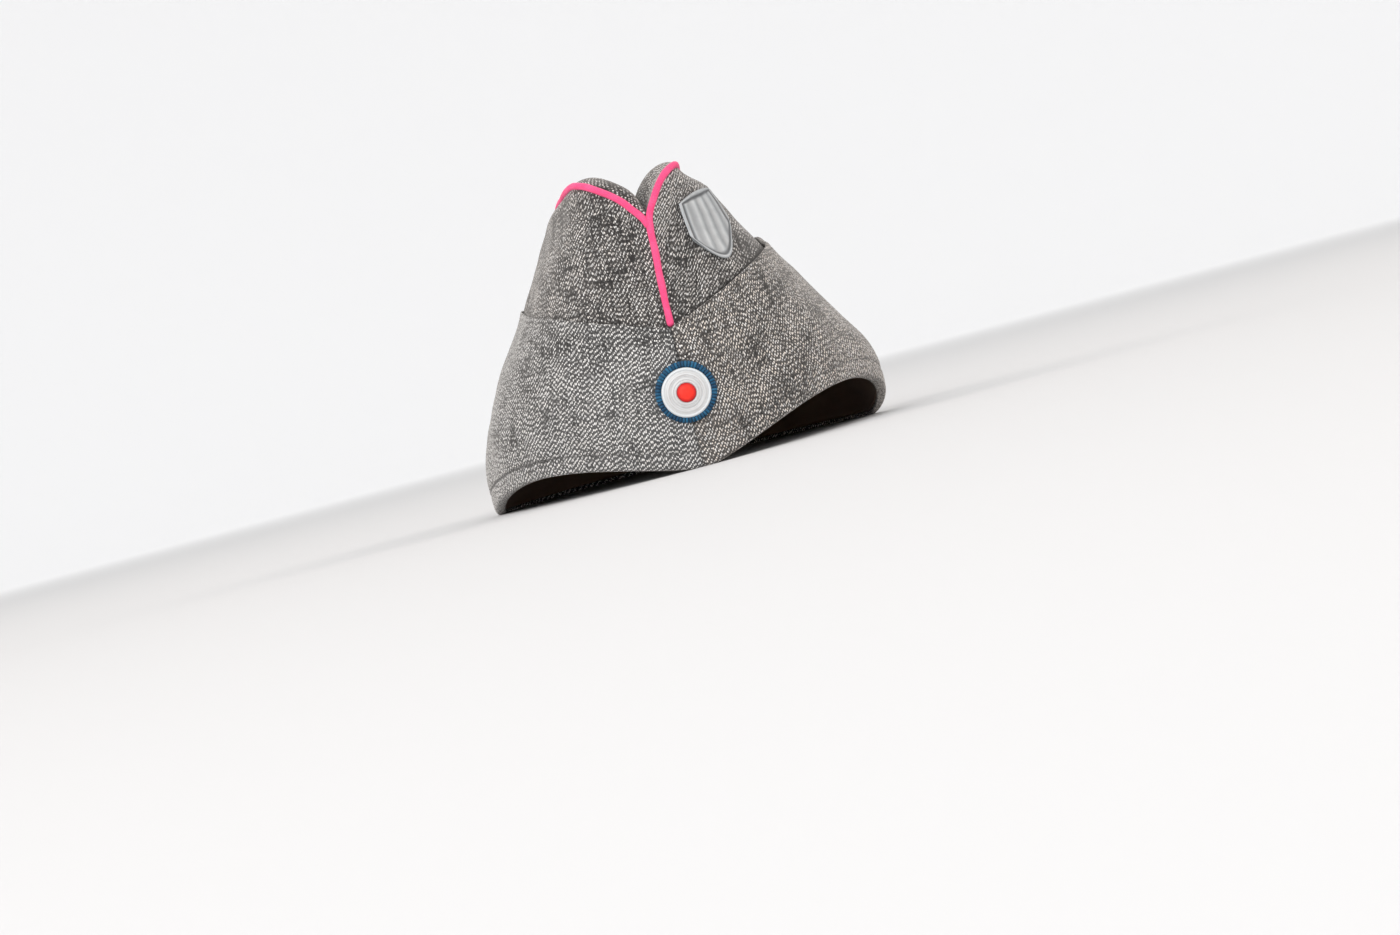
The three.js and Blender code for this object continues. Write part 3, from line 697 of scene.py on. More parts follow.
def piping_path(side):
    """The middle of a cord, in even steps."""
    path = ridge_seam(side, np.linspace(RIDGE_START[side], RIDGE_END, RIDGE_POINTS))
    rise = np.linspace(STEM_START[side], STEM_TOP[side], STEM_POINTS)
    stem = plain_panel(side, np.zeros(STEM_POINTS), rise)
    stem[:, 0] = lean(0, rise) + STEM_BESIDE[side] * smooth(rise, *STEM_PARTS)
    path = np.vstack((stem, path))
    length = length_along(path, 0)
    path = at_length(path, length, np.linspace(0, length[-1], PIPING_STEPS + 1))
    ends = (PIPING_EASE // 2, PIPING_EASE // 2)
    padded = np.pad(path, (ends, (0, 0)), mode="reflect", reflect_type="odd")
    window = np.full(PIPING_EASE, 1 / PIPING_EASE)
    return np.stack([np.convolve(line, window, "valid") for line in padded.T], -1)


JOIN = (bpy.ops.mesh.remove_doubles, {"threshold": 1e-6})
FILL = (bpy.ops.mesh.fill_holes, {"sides": 0})
TURN_OUT = (bpy.ops.mesh.normals_make_consistent, {"inside": False})
TURN_OVER = (bpy.ops.mesh.flip_normals, {})


def edit_whole(*steps):
    """Joins meeting edges, fills open ends or turns faces, on the whole of the active piece."""
    bpy.ops.object.mode_set(mode="EDIT")
    for operator, settings in steps:
        bpy.ops.mesh.select_all(action="SELECT")
        operator(**settings)
    bpy.ops.object.mode_set(mode="OBJECT")


FELT_DEEP = (0.80, 0.040, 0.150, 1)
FELT_PINK = (0.93, 0.075, 0.235, 1)
FELT_PALE = (0.96, 0.150, 0.320, 1)
FELT_STOPS = [(0.15, FELT_DEEP), (0.5, FELT_PINK), (0.95, FELT_PALE)]
FELT_SHEEN = (1, 0.6, 0.75, 1)
FADING_SCALE, FADING = 160.0, 0.8
FELT_NAP_SCALE, FELT_NAP = 2600.0, 1.2
FELT_DARKER = 0.5

felt, start, shader = new_material("pink_felt", Roughness=0.85, Sheen_Weight=0.25, Sheen_Roughness=0.4)
shader.inputs["Sheen Tint"].default_value = FELT_SHEEN
uv = start.node("UVMap")
fading, nap = cloud(uv, FADING_SCALE, 2.0), cloud(uv, FELT_NAP_SCALE, 3.0)
shade = (nap * FELT_NAP + fading * FADING - FELT_DARKER).clamp()
colour = start.node("ValToRGB", {"stops": FELT_STOPS}, {0: shade})
bump = start.node("Bump", None, {"Strength": NAP_STRENGTH, "Distance": NAP_DEPTH, "Height": nap})
drive(shader, Base_Color=colour, Normal=bump)
for side, name in ((LEFT, "piping_left"), (RIGHT, "piping_right")):
    path = piping_path(side)
    wander = [
        [noise.noise(Vector(p) / WANDER_SIZE + Vector(shift)) for shift in WANDER_SHIFTS]
        for p in path
    ]
    path = path + PIPING_WANDER * np.array(wander)
    tangent = unit(np.gradient(path, axis=0))
    flat = unit(np.cross(tangent, (1, 0, 0)))
    upright = np.cross(flat, tangent)
    uneven = np.array([noise.noise(Vector(p) / UNEVEN_SIZE) for p in path])
    step = np.arange(PIPING_STEPS + 1)
    from_end = np.minimum(step, PIPING_STEPS - step)
    rounded = np.sqrt(1 - (1 - np.clip(from_end / PIPING_END_STEPS, 0, 1)) ** 2)
    radius = PIPING_RADIUS * (1 + PIPING_UNEVEN * uneven) * rounded

    def felt_round_cord(along, turn):
        phase = -2 * np.pi * turn[..., None]
        return path + radius[:, None] * (flat * np.cos(phase) + upright * np.sin(phase))

    piping = lay_grid(f"{name}_cord", PIPING_STEPS, PIPING_SIDES, felt_round_cord)
    edit_whole(JOIN, FILL, TURN_OUT)
    piping.data.materials.append(felt)
    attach(piping, "root")
    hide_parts(name)

# The inner band is a strip of brown cotton that is sewn round the inside of the rim to bind it.
# Only its lower edge shows from outside, where the rim arches up at the sides.
BAND_CLOTH = 0.8
BAND_HEIGHT = 28
BAND_GAP = 0.3
BAND_FOOT = 1.55
BAND_COLUMNS, BAND_ROWS = 200, 18
BAND_THREAD, BAND_THREAD_SHADE = 0.00025, 0.7
BAND_FIBRE_SCALE, BAND_FIBRE_SHADE = 1800.0, 0.6
BAND_DARKER = 0.3
BAND_STRENGTH, BAND_DEPTH = 0.4, 0.0002
BAND_BROWN = (0.20, 0.12, 0.08, 1)
BAND_TAN = (0.33, 0.21, 0.145, 1)


def inside_rim(side, angle, height):
    """A point on the band's outer face, at an exact height above the rim."""
    point = off_panel(side, angle, rise_at(side, angle, height), -CROWN_CLOTH - BAND_GAP)
    point[..., 2] = rim(side, angle)[..., 2] + height
    return point


def band_cloth(around, up):
    """The band, which goes round from the front by the left."""
    on_left = around < 0.5
    angle = np.pi * np.where(on_left, 2 * around, 2 - 2 * around)
    left, right = [inside_rim(side, angle, BAND_FOOT + BAND_HEIGHT * up) for side in (LEFT, RIGHT)]
    return np.where(on_left[..., None], left, right)


cotton, start, shader = new_material("brown_cotton", Roughness=0.8, Sheen_Weight=0.1)
uv = start.node("UVMap")
warp, weft = [place.math("PINGPONG", place, BAND_THREAD) for place in split(uv, "XY")]
fibre = cloud(uv, BAND_FIBRE_SCALE, 3.0)
threads = (warp + weft) / (2 * BAND_THREAD) * BAND_THREAD_SHADE
weave = (threads + fibre * BAND_FIBRE_SHADE - BAND_DARKER).clamp()
bump = start.node("Bump", None, {"Strength": BAND_STRENGTH, "Distance": BAND_DEPTH, "Height": weave})
drive(shader, Base_Color=weave.blend(BAND_BROWN, BAND_TAN), Normal=bump)
band = lay_grid("inner_band_cotton", BAND_COLUMNS, BAND_ROWS, band_cloth)
edit_whole(JOIN)
thicken(band, BAND_CLOTH)
band.data.materials.append(cotton)
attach(band, "root")
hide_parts("inner_band")

# The curtain is a double flap of the twill that is sewn in at the rim and turned up round the crown.
# Its two halves meet in seams at the front and the back, and its upper edge is a fold.
# A row of stitches holds it at the rim.
HEM = 1.2
HEM_DEPTH = CROWN_CLOTH + BAND_GAP + BAND_CLOTH
CURTAIN_CLOTH = 1.5
CURTAIN_GAP = 0.4
CURTAIN_FLARE = {LEFT: 2.2, RIGHT: 0.6}
CURTAIN_FLARE_ROUND = np.radians((4, 35, 40, 72))
CURTAIN_PRESS = {LEFT: 0, RIGHT: 0.8}
CURTAIN_PRESS_START = 0.4
FLARE_POWER = 4
RIM_ROUND = 1.4
STITCH_LINE = 6.8
STITCH_GROOVE, STITCH_GROOVE_WIDTH = 0.45, 0.9
STITCH_REACH = 2.2
CURTAIN_COLUMNS = 170
UNDER_ROWS, CORNER_ROWS, LOW_ROWS, STITCH_ROWS = 3, 5, 5, 12
FACE_ROWS, FOLD_ROWS, BACK_ROWS, HEM_ROWS = 40, 8, 14, 3
OUTER_ROWS = UNDER_ROWS + CORNER_ROWS + LOW_ROWS + STITCH_ROWS + FACE_ROWS
CURTAIN_ROWS = OUTER_ROWS + FOLD_ROWS + BACK_ROWS + HEM_ROWS + 1
# Painted shade along the stitches and beside the seams.
STITCH_DARK = {LEFT: 0.25, RIGHT: 1.1}
STITCH_DARK_WIDTH = 0.9
STITCH_DARK_FRONT = 0.3
STITCH_SHOWS = np.radians((25, 60))
FRONT_SEAM_DARK, FRONT_SEAM_WIDTH = 0.55, 0.9
# Painted light low at the front and on the sides, and real wear along the hem.
FRONT_PAINTED_LIGHT, FRONT_LIGHT_TOP = 0.36, (15, 60)
FRONT_LIGHT_ENDS = {LEFT: np.radians((4, 20)), RIGHT: np.radians((20, 60))}
SIDE_PAINTED_LIGHT = {LEFT: 0.3, RIGHT: 0.36}
SIDE_LIGHT_STARTS = {LEFT: np.radians((55, 95)), RIGHT: np.radians((50, 85))}
HEM_WEAR, HEM_WEAR_TOP, HEM_WEAR_STARTS = 0.35, (4, 20), np.radians((30, 60))
CURTAIN_GRAIN = {LEFT: math.radians(4), RIGHT: math.radians(-10)}
CURTAIN_FADE_AND_LIGHT = 0.28
# The curtain's halves get copies of the twill with a higher fade than the crown's, a warmer tint on the
# left and a cooler one on the right: painted light and shade for how each half is lit.
CURTAIN_WOOL = {
    LEFT: wool_twill(
        "curtain_twill_left",
        cream=(0.98, 0.875, 0.77, 1),
        black=(0.013, 0.012, 0.011, 1),
        grey=(0.088, 0.080, 0.075, 1),
        fade_and_light=CURTAIN_FADE_AND_LIGHT,
    ),
    RIGHT: wool_twill(
        "curtain_twill_right",
        cream=(0.94, 0.91, 0.87, 1),
        black=(0.012, 0.012, 0.012, 1),
        grey=(0.082, 0.081, 0.081, 1),
        fade_and_light=CURTAIN_FADE_AND_LIGHT,
    ),
}
EXACT_UP_TO = (2, 10)


def curtain_back(side, angle, height):
    """How far the curtain's inner face stands off the crown."""
    flare = CURTAIN_FLARE[side] * between(angle, *CURTAIN_FLARE_ROUND)
    return CURTAIN_GAP + flare * (height / curtain_edge(side, angle)) ** FLARE_POWER


def curtain_face(side, angle, height):
    """How far its outer face stands off, with the stitches' groove and the seams drawn in."""
    groove = STITCH_GROOVE * np.exp(-(((height - STITCH_LINE) / STITCH_GROOVE_WIDTH) ** 2))
    press = CURTAIN_PRESS[side] * smooth(height / curtain_edge(side, angle), CURTAIN_PRESS_START, 1)
    cloth = CURTAIN_CLOTH - press - groove - seam_sink(seam_gap(angle))
    return curtain_back(side, angle, height) + cloth


def curtain_point(side, angle, height, distance):
    """A point of the curtain, at its exact height near the rim and along the crown's surface above."""
    point = off_panel(side, angle, rise_at(side, angle, height), distance)
    exact = rim(side, angle)[..., 2] + height
    point[..., 2] = exact + (point[..., 2] - exact) * smooth(height, *EXACT_UP_TO)
    return point


def even_shares(count):
    """Even shares of a stretch, from 0 to just short of 1."""
    return np.linspace(0, 1, count, endpoint=False)


for side, name in ((LEFT, "curtain_left"), (RIGHT, "curtain_right")):

    def curtain_section(across):
        """Heights above the rim and distances off the crown, from the hem round the curtain and back."""
        angle = from_front(side, across[0])
        edge = curtain_edge(side, angle)
        foot = curtain_face(side, angle, RIM_ROUND)
        fold = (curtain_face(side, angle, edge) - curtain_back(side, angle, edge)) / 2
        outer = edge - fold
        inner_face = curtain_back(side, angle, outer)
        low, high = STITCH_LINE - STITCH_REACH, STITCH_LINE + STITCH_REACH
        section = []
        for share in even_shares(UNDER_ROWS):
            section.append((0, -HEM_DEPTH + share * (foot - RIM_ROUND + HEM_DEPTH)))
        for turn in even_shares(CORNER_ROWS) * np.pi / 2:
            section.append((RIM_ROUND * (1 - np.cos(turn)), foot - RIM_ROUND * (1 - np.sin(turn))))
        face = ((RIM_ROUND, low, LOW_ROWS), (low, high, STITCH_ROWS), (high, outer, FACE_ROWS))
        for first, last, count in face:
            for share in even_shares(count):
                height = first + share * (last - first)
                section.append((height, curtain_face(side, angle, height)))
        for turn in even_shares(FOLD_ROWS) * np.pi:
            section.append((outer + fold * np.sin(turn), inner_face + fold * (1 + np.cos(turn))))
        for share in even_shares(BACK_ROWS):
            height = outer + share * (HEM - outer)
            section.append((height, curtain_back(side, angle, height)))
        for share in even_shares(HEM_ROWS):
            section.append((HEM, CURTAIN_GAP - share * (CURTAIN_GAP + HEM_DEPTH)))
        section.append((HEM, -HEM_DEPTH))
        section.append(section[0])
        height, distance = [
            np.stack([np.broadcast_to(value, angle.shape) for value in values])
            for values in zip(*section)
        ]
        return np.broadcast_to(angle, height.shape), height, distance

    def curtain_cloth(across, _):
        return curtain_point(side, *curtain_section(across))

    # Painted shade on the curtain along its row of stitches, heavier on the right side, and beside the
    # front and back seams.
    def curtain_painted_shade(across, _):
        angle, height, _ = curtain_section(across)
        shown = STITCH_DARK_FRONT + (1 - STITCH_DARK_FRONT) * smooth(angle, *STITCH_SHOWS)
        stitch = STITCH_DARK[side] * shown * (1 - np.abs(height - STITCH_LINE) / STITCH_DARK_WIDTH)
        seam = FRONT_SEAM_DARK * (1 - seam_gap(angle) / FRONT_SEAM_WIDTH)
        return np.maximum(stitch, seam)

    # Painted light makes the curtain paler low at the front and on its sides; the hem at the sides is
    # paler by real wear.
    def curtain_wear_and_light(across, _):
        angle, height, _ = curtain_section(across)
        front = FRONT_PAINTED_LIGHT * (1 - smooth(angle, *FRONT_LIGHT_ENDS[side]))
        front = front * (1 - smooth(height, *FRONT_LIGHT_TOP))
        hem = HEM_WEAR * (1 - smooth(height, *HEM_WEAR_TOP)) * smooth(angle, *HEM_WEAR_STARTS)
        return front + hem + SIDE_PAINTED_LIGHT[side] * smooth(angle, *SIDE_LIGHT_STARTS[side])

    curtain = lay_grid(
        f"{name}_cloth", CURTAIN_COLUMNS, CURTAIN_ROWS, curtain_cloth,
        zero=FRONT_COLUMN[side], tuck=curtain_painted_shade, grain=CURTAIN_GRAIN[side], wear=curtain_wear_and_light,
    )
    edit_whole(JOIN, FILL, TURN_OUT)
    curtain.data.materials.append(CURTAIN_WOOL[side])
    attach(curtain, "root")
    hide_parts(name)

# The stitches of the rim are a row of grey thread, drawn down into the curtain.
# Each one is a short length of round thread that follows the curtain's face and thins at its ends.
STITCH_LENGTH, STITCH_GAP, STITCH_RADIUS = 2.5, 0.9, 0.27
STITCH_RINGS, STITCH_SIDES = 6, 6
STITCH_SINK = 0.05
STITCH_FIRST, STITCH_LAST = 2.0, 4
STITCH_LINE_POINTS = 2000
STITCH_END_THIN, STITCH_END_POWER = 0.02, 4
THREAD_GREY = (0.10, 0.098, 0.095, 1)

thread, start, shader = new_material("grey_thread", Roughness=0.7, Sheen_Weight=0.2)
shader.inputs["Base Color"].default_value = THREAD_GREY
share = np.linspace(0, 1, STITCH_RINGS)
thick = STITCH_RADIUS * np.sqrt(np.clip(1 - (2 * share - 1) ** STITCH_END_POWER, STITCH_END_THIN, 1))
phase = np.linspace(0, 2 * np.pi, STITCH_SIDES, endpoint=False)[:, None]
points = []
faces = []
for side in (LEFT, RIGHT):
    angles = np.linspace(0, np.pi, STITCH_LINE_POINTS)
    heights = np.full(STITCH_LINE_POINTS, float(STITCH_LINE))
    line = curtain_point(side, angles, heights, curtain_face(side, angles, heights) - STITCH_SINK)
    length = length_along(line, 0)
    for begin in np.arange(STITCH_FIRST, length[-1] - STITCH_LAST, STITCH_LENGTH + STITCH_GAP):
        spine = at_length(line, length, begin + STITCH_LENGTH * share)
        direction = unit(spine[-1] - spine[0])
        upright = unit(np.cross(direction, np.cross((0, 0, 1), direction)))
        outward = np.cross(direction, upright)
        around = upright * np.cos(phase) + outward * np.sin(phase)
        rings = spine[:, None] + thick[:, None, None] * around
        first = len(points)
        points.extend((rings.reshape(-1, 3) + (0, CENTRE_Y, 0)) * MM)
        for ring in range(STITCH_RINGS - 1):
            for k in range(STITCH_SIDES):
                a = first + ring * STITCH_SIDES + k
                b = first + ring * STITCH_SIDES + (k + 1) % STITCH_SIDES
                faces.append((a, b, b + STITCH_SIDES, a + STITCH_SIDES))
        faces.append([first + k for k in reversed(range(STITCH_SIDES))])
        faces.append([first + (STITCH_RINGS - 1) * STITCH_SIDES + k for k in range(STITCH_SIDES)])
mesh = bpy.data.meshes.new("rim_stitches")
mesh.from_pydata(points, [], faces)
row = bpy.data.objects.new("rim_stitches", mesh)
bpy.context.collection.objects.link(row)
bpy.ops.object.select_all(action="DESELECT")
row.select_set(True)
bpy.context.view_layer.objects.active = row
edit_whole(TURN_OUT)
bpy.ops.object.shade_smooth()
row.data.materials.append(thread)
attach(row, "root")

# The cockade is three pressed metal pieces on one stem through the curtain.
# A ribbed ring in blue enamel holds a turned disc in white, with a red boss in the middle.
# The disc and the boss sit a little low in the ring.
COCKADE_GAP = 0.3
COCKADE_X = lean(0, COCKADE_HEIGHT / FRONT_RIDGE_Z)
COCKADE_Y = PATCH_Y - CURTAIN_GAP - CURTAIN_CLOTH - COCKADE_GAP + CENTRE_Y
COCKADE = np.array((COCKADE_X, COCKADE_Y, COCKADE_HEIGHT)) * MM
FACE_FRONT = (math.pi / 2, 0, 0)
RING_RADIUS, RING_HALF_WIDTH, RING_DEPTH = 10.55, 1.22, 1.25
RING_MIDDLE, RING_BACK, RING_BACK_FROM = 0.95, -0.45, -0.5
RIB_COUNT = 54
RIB_HEIGHT, RIB_SHOWS = 0.6, (-0.3, 0.6)
RING_SEGMENTS, RING_SIDES = RIB_COUNT * 4, 16
RIB_SHADE_ENDS = (0.45, 0.92)
RING_MOTTLE_SCALE, RING_MOTTLE, RIB_WORN, RING_DARKER = 900.0, 1.4, 0.9, 0.75
RING_GROOVE_SHADE = 0.9
ENAMEL_DEEP, ENAMEL_PALE = (0.004, 0.055, 0.125, 1), (0.022, 0.155, 0.295, 1)
ENAMEL_GROOVE_SHADE = (0.002, 0.010, 0.024, 1)

bpy.ops.object.select_all(action="DESELECT")
bpy.ops.mesh.primitive_torus_add(
    major_radius=RING_RADIUS * MM,
    minor_radius=RING_HALF_WIDTH * MM,
    major_segments=RING_SEGMENTS,
    minor_segments=RING_SIDES,
)
ring = bpy.context.object
ring.name = ring.data.name = "cockade_ring_ribbed"
points = np.empty((len(ring.data.vertices), 3))
ring.data.vertices.foreach_get("co", points.reshape(-1))
turn = np.arctan2(points[:, 1], points[:, 0])
out = np.hypot(points[:, 0], points[:, 1]) / MM - RING_RADIUS
high = points[:, 2] / MM
rib = np.sqrt(np.abs(np.sin(turn * RIB_COUNT / 2)))
swell = 1 - RIB_HEIGHT * (1 - rib) * smooth(high, *RIB_SHOWS)
reach = (RING_RADIUS + out * np.where(out > 0, swell, 1)) * MM
rise = np.maximum(high * swell * RING_DEPTH / RING_HALF_WIDTH + RING_MIDDLE, RING_BACK)
rise = np.where(high < RING_BACK_FROM, RING_BACK, rise) * MM
placed = np.stack((reach * np.cos(turn), -rise, reach * np.sin(turn)), -1) + COCKADE
ring.data.vertices.foreach_set("co", placed.ravel())
# Painted shade in the grooves between the ribs.
mark(ring.data, "tuck", 1 - smooth(rib, *RIB_SHADE_ENDS))
worn_ribs = np.random.default_rng(RIB_COUNT).random(RIB_COUNT)
mark(ring.data, "wear", worn_ribs[np.floor(turn / (2 * np.pi) * RIB_COUNT).astype(int) % RIB_COUNT])
bpy.ops.object.shade_smooth()
enamel, start, shader = new_material("blue_enamel", Roughness=0.5, Specular_IOR_Level=0.3)
place = start.node("TexCoord", output="Object")
mottle = cloud(place, RING_MOTTLE_SCALE, 3.0) * RING_MOTTLE
paler = (mottle + marked(start, "wear") * RIB_WORN - RING_DARKER).clamp()
# The painted shade turns the enamel near black in the grooves.
groove = marked(start, "tuck") * RING_GROOVE_SHADE
drive(shader, Base_Color=groove.blend(paler.blend(ENAMEL_DEEP, ENAMEL_PALE), ENAMEL_GROOVE_SHADE))
ring.data.materials.append(enamel)
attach(ring, "root")
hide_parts("cockade_ring")

DISC_LOW = 0.3
DISC_PLACE = Vector(COCKADE) - Vector((0, 0, DISC_LOW * MM))
DISC_SEGMENTS = 96
DISC_STEPS = [
    # radius, height
    (9.4, 0.0),
    (9.55, 1.2),
    (9.45, 1.9),
    (9.15, 2.35),
    (8.8, 2.5),
    (8.5, 2.38),
    (8.3, 2.1),
    (8.1, 2.18),
    (7.2, 2.42),
    (6.95, 2.62),
    (6.7, 2.42),
    (6.25, 2.42),
    (6.05, 2.16),
    (5.85, 2.4),
    (5.0, 2.66),
    (4.8, 2.42),
    (4.6, 2.66),
    (4.3, 2.8),
    (3.8, 2.6),
    (3.74, 2.0),
]
SHARP_EDGE = math.radians(50)


def turned(name, steps, segments):
    """A round piece drawn out of a circle, ring by ring, to face the front."""
    bpy.ops.object.select_all(action="DESELECT")
    radius, height = steps[0]
    place = DISC_PLACE - Vector((0, height * MM, 0))
    bpy.ops.mesh.primitive_circle_add(
        vertices=segments, radius=radius * MM, fill_type="NGON", location=place, rotation=FACE_FRONT
    )
    piece = bpy.context.object
    piece.name = piece.data.name = name
    bpy.ops.object.transform_apply(location=True, rotation=True, scale=True)
    bpy.ops.object.mode_set(mode="EDIT")
    bpy.ops.mesh.select_all(action="SELECT")
    for (was, low), (radius, high) in zip(steps, steps[1:]):
        bpy.ops.mesh.extrude_region_move(TRANSFORM_OT_translate={"value": (0, (low - high) * MM, 0)})
        bpy.ops.transform.resize(value=(radius / was, 1, radius / was), center_override=DISC_PLACE)
    bpy.ops.mesh.select_all(action="SELECT")
    bpy.ops.mesh.normals_make_consistent(inside=False)
    bpy.ops.object.mode_set(mode="OBJECT")
    bpy.ops.object.shade_smooth_by_angle(angle=SHARP_EDGE)
    return piece


def from_middle(place):
    """The distance of a place from the middle of the disc, as the cockade is seen from the front."""
    offset = place.node("VectorMath", {"operation": "SUBTRACT"}, {0: place, 1: tuple(DISC_PLACE)})
    flat_offset = place.node("VectorMath", {"operation": "MULTIPLY"}, {0: offset, 1: (1, 0, 1)})
    return place.node("VectorMath", {"operation": "LENGTH"}, {0: flat_offset}, "Value")


DISC_RINGS_SCALE, DISC_RINGS = 2200, 1.7
DISC_STAIN_SCALE, DISC_STAIN, DISC_DARKER = 420.0, 0.8, 0.7
LIP_START, LIP_WIDTH, LIP_HIGHLIGHT = 0.0080, 0.0007, 0.6
METAL_DULL, METAL_BRIGHT = (0.55, 0.535, 0.52, 1), (0.73, 0.745, 0.755, 1)
METAL_LIP_HIGHLIGHT = (0.77, 0.81, 0.83, 1)

disc = turned("cockade_disc_turned", DISC_STEPS, DISC_SEGMENTS)
white, start, shader = new_material("turned_metal", Metallic=0.1, Roughness=0.45)
place = start.node("TexCoord", output="Object")
radius = from_middle(place)
in_rings = {"W": radius * DISC_RINGS_SCALE, "Scale": 1.0, "Detail": 2.0}
rings = start.node("TexNoise", {"noise_dimensions": "1D"}, in_rings)
stain = cloud(place, DISC_STAIN_SCALE, 4.0)
pale_share = (rings * DISC_RINGS + stain * DISC_STAIN - DISC_DARKER).clamp()
# Painted highlight: the disc's raised outer lip is turned a pale bluish white.
lip = ((radius - LIP_START) / LIP_WIDTH).clamp()
drive(shader, Base_Color=(lip * LIP_HIGHLIGHT).blend(pale_share.blend(METAL_DULL, METAL_BRIGHT), METAL_LIP_HIGHLIGHT))
disc.data.materials.append(white)
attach(disc, "root")
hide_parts("cockade_disc")

BOSS_SEGMENTS = 64
BOSS_STEPS = [
    # radius, height
    (3.62, 1.9),
    (3.66, 2.8),
    (3.56, 3.15),
    (3.28, 3.45),
    (2.8, 3.7),
    (2.1, 3.88),
    (1.3, 3.97),
    (0.6, 4.0),
]
BOSS_MOTTLE_SCALE, BOSS_MOTTLE, BOSS_DARKER = 700.0, 1.4, 0.2
BOSS_EDGE_START, BOSS_EDGE_WIDTH, BOSS_EDGE_SHADE = 0.0023, 0.0013, 0.9
RED_DEEP, RED_BRIGHT = (0.86, 0.024, 0.014, 1), (0.95, 0.048, 0.026, 1)
RED_EDGE_SHADE = (0.46, 0.006, 0.012, 1)

boss = turned("cockade_boss_dome", BOSS_STEPS, BOSS_SEGMENTS)
red, start, shader = new_material("red_enamel", Roughness=0.45, Specular_IOR_Level=0.25)
place = start.node("TexCoord", output="Object")
mottle = (cloud(place, BOSS_MOTTLE_SCALE, 3.0) * BOSS_MOTTLE - BOSS_DARKER).clamp()
# Painted shade: the boss turns a darker red towards its edge, where the dome curves away.
edge = ((from_middle(place) - BOSS_EDGE_START) / BOSS_EDGE_WIDTH).clamp()
drive(shader, Base_Color=(edge * BOSS_EDGE_SHADE).blend(mottle.blend(RED_DEEP, RED_BRIGHT), RED_EDGE_SHADE))
boss.data.materials.append(red)
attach(boss, "root")
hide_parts("cockade_boss")

# The badge is a plain pressed shield of dull grey metal, with a raised border and shallow flutes.
# It is curved to the left panel and held by pins behind it.
BADGE_WIDTH, BADGE_HEIGHT = 27, 30
BADGE_ANGLE, BADGE_RISE, BADGE_TOP = math.radians(29), 0.735, 0.97
BADGE_PLATE = 1.1
BADGE_GAP = -0.05
BADGE_SHOULDER, BADGE_TAPER = 0.45, 1.7
BADGE_COLUMNS, BADGE_ROWS = 96, 64
BORDER_WIDTH, BORDER_HEIGHT, BORDER_SLOPES = 0.085, 0.6, (-0.4, 0.5, 1.0, 1.9)
FLUTES, FLUTE_DEPTH, FLUTES_FROM = 5, 0.4, (1.6, 3.0)
GROOVE_DARK, GROOVE_SLOPES = 0.8, (0.9, 1.5, 1.8, 2.8)
HOLLOW_DARK = 0.35
BADGE_STAIN_SCALE, BADGE_STAIN, BADGE_DARKER, BADGE_SHADE_UNEVEN = 300.0, 2, 0.5, 0.3
BADGE_DULL, BADGE_BRIGHT = (0.36, 0.375, 0.385, 1), (0.52, 0.54, 0.55, 1)
BADGE_GROOVE_SHADE = (0.055, 0.057, 0.06, 1)
BADGE_STEP = 0.01


def on_badge_panel(angle, rise):
    """A point of the left panel near the badge."""
    return panel(LEFT, np.full(1, angle), np.full(1, rise))[0]


middle = on_badge_panel(BADGE_ANGLE, BADGE_RISE)
PER_ANGLE = np.linalg.norm(on_badge_panel(BADGE_ANGLE + BADGE_STEP, BADGE_RISE) - middle) / BADGE_STEP
PER_RISE = np.linalg.norm(on_badge_panel(BADGE_ANGLE, BADGE_RISE + BADGE_STEP) - middle) / BADGE_STEP


def badge_place(across, up):
    """How far out to a side a share lies, and how many widths of border it is in from the outline."""
    side = 2 * across - 1
    return side, np.minimum(np.minimum(1 - np.abs(side), 2 * up), 2 * (1 - up)) / BORDER_WIDTH


def badge_face(across, up):
    """The shield's outer face, with its border and its flutes."""
    side, inner = badge_place(across, up)
    low = BADGE_HEIGHT * ((1 - BADGE_SHOULDER) * np.abs(side) ** BADGE_TAPER - 0.5)
    angle = BADGE_ANGLE + side * BADGE_WIDTH / 2 / PER_ANGLE
    height = low + (BADGE_HEIGHT / 2 - low) * up
    flute = 0.5 + 0.5 * np.cos(np.pi * side * FLUTES)
    field = smooth(inner, *FLUTES_FROM) * FLUTE_DEPTH * flute
    relief = BORDER_HEIGHT * between(inner, *BORDER_SLOPES) + field
    rise = np.clip(BADGE_RISE + height / PER_RISE, 0, BADGE_TOP)
    return off_panel(LEFT, angle, rise, BADGE_GAP + BADGE_PLATE + relief)


def badge_painted_shade(across, up):
    """Painted shade on the shield, in the groove inside its border and between its flutes."""
    side, inner = badge_place(across, up)
    hollow = smooth(inner, *FLUTES_FROM) * (0.5 - 0.5 * np.cos(np.pi * side * FLUTES))
    return GROOVE_DARK * between(inner, *GROOVE_SLOPES) + HOLLOW_DARK * hollow


badge = lay_grid("badge_shield", BADGE_COLUMNS, BADGE_ROWS, badge_face, tuck=badge_painted_shade)
thicken(badge, BADGE_PLATE)
grey, start, shader = new_material("dull_grey_metal", Metallic=0.6, Roughness=0.5)
stain = cloud(start.node("TexCoord", output="Object"), BADGE_STAIN_SCALE, 5.0)
metal = (stain * BADGE_STAIN - BADGE_DARKER).clamp().blend(BADGE_DULL, BADGE_BRIGHT)
# Painted shade darkens the groove and the hollows between the flutes, made uneven by the stain.
groove = (marked(start, "tuck") + (stain - 0.5) * BADGE_SHADE_UNEVEN).clamp()
drive(shader, Base_Color=groove.blend(metal, BADGE_GROOVE_SHADE))
badge.data.materials.append(grey)
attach(badge, "root")
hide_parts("badge")

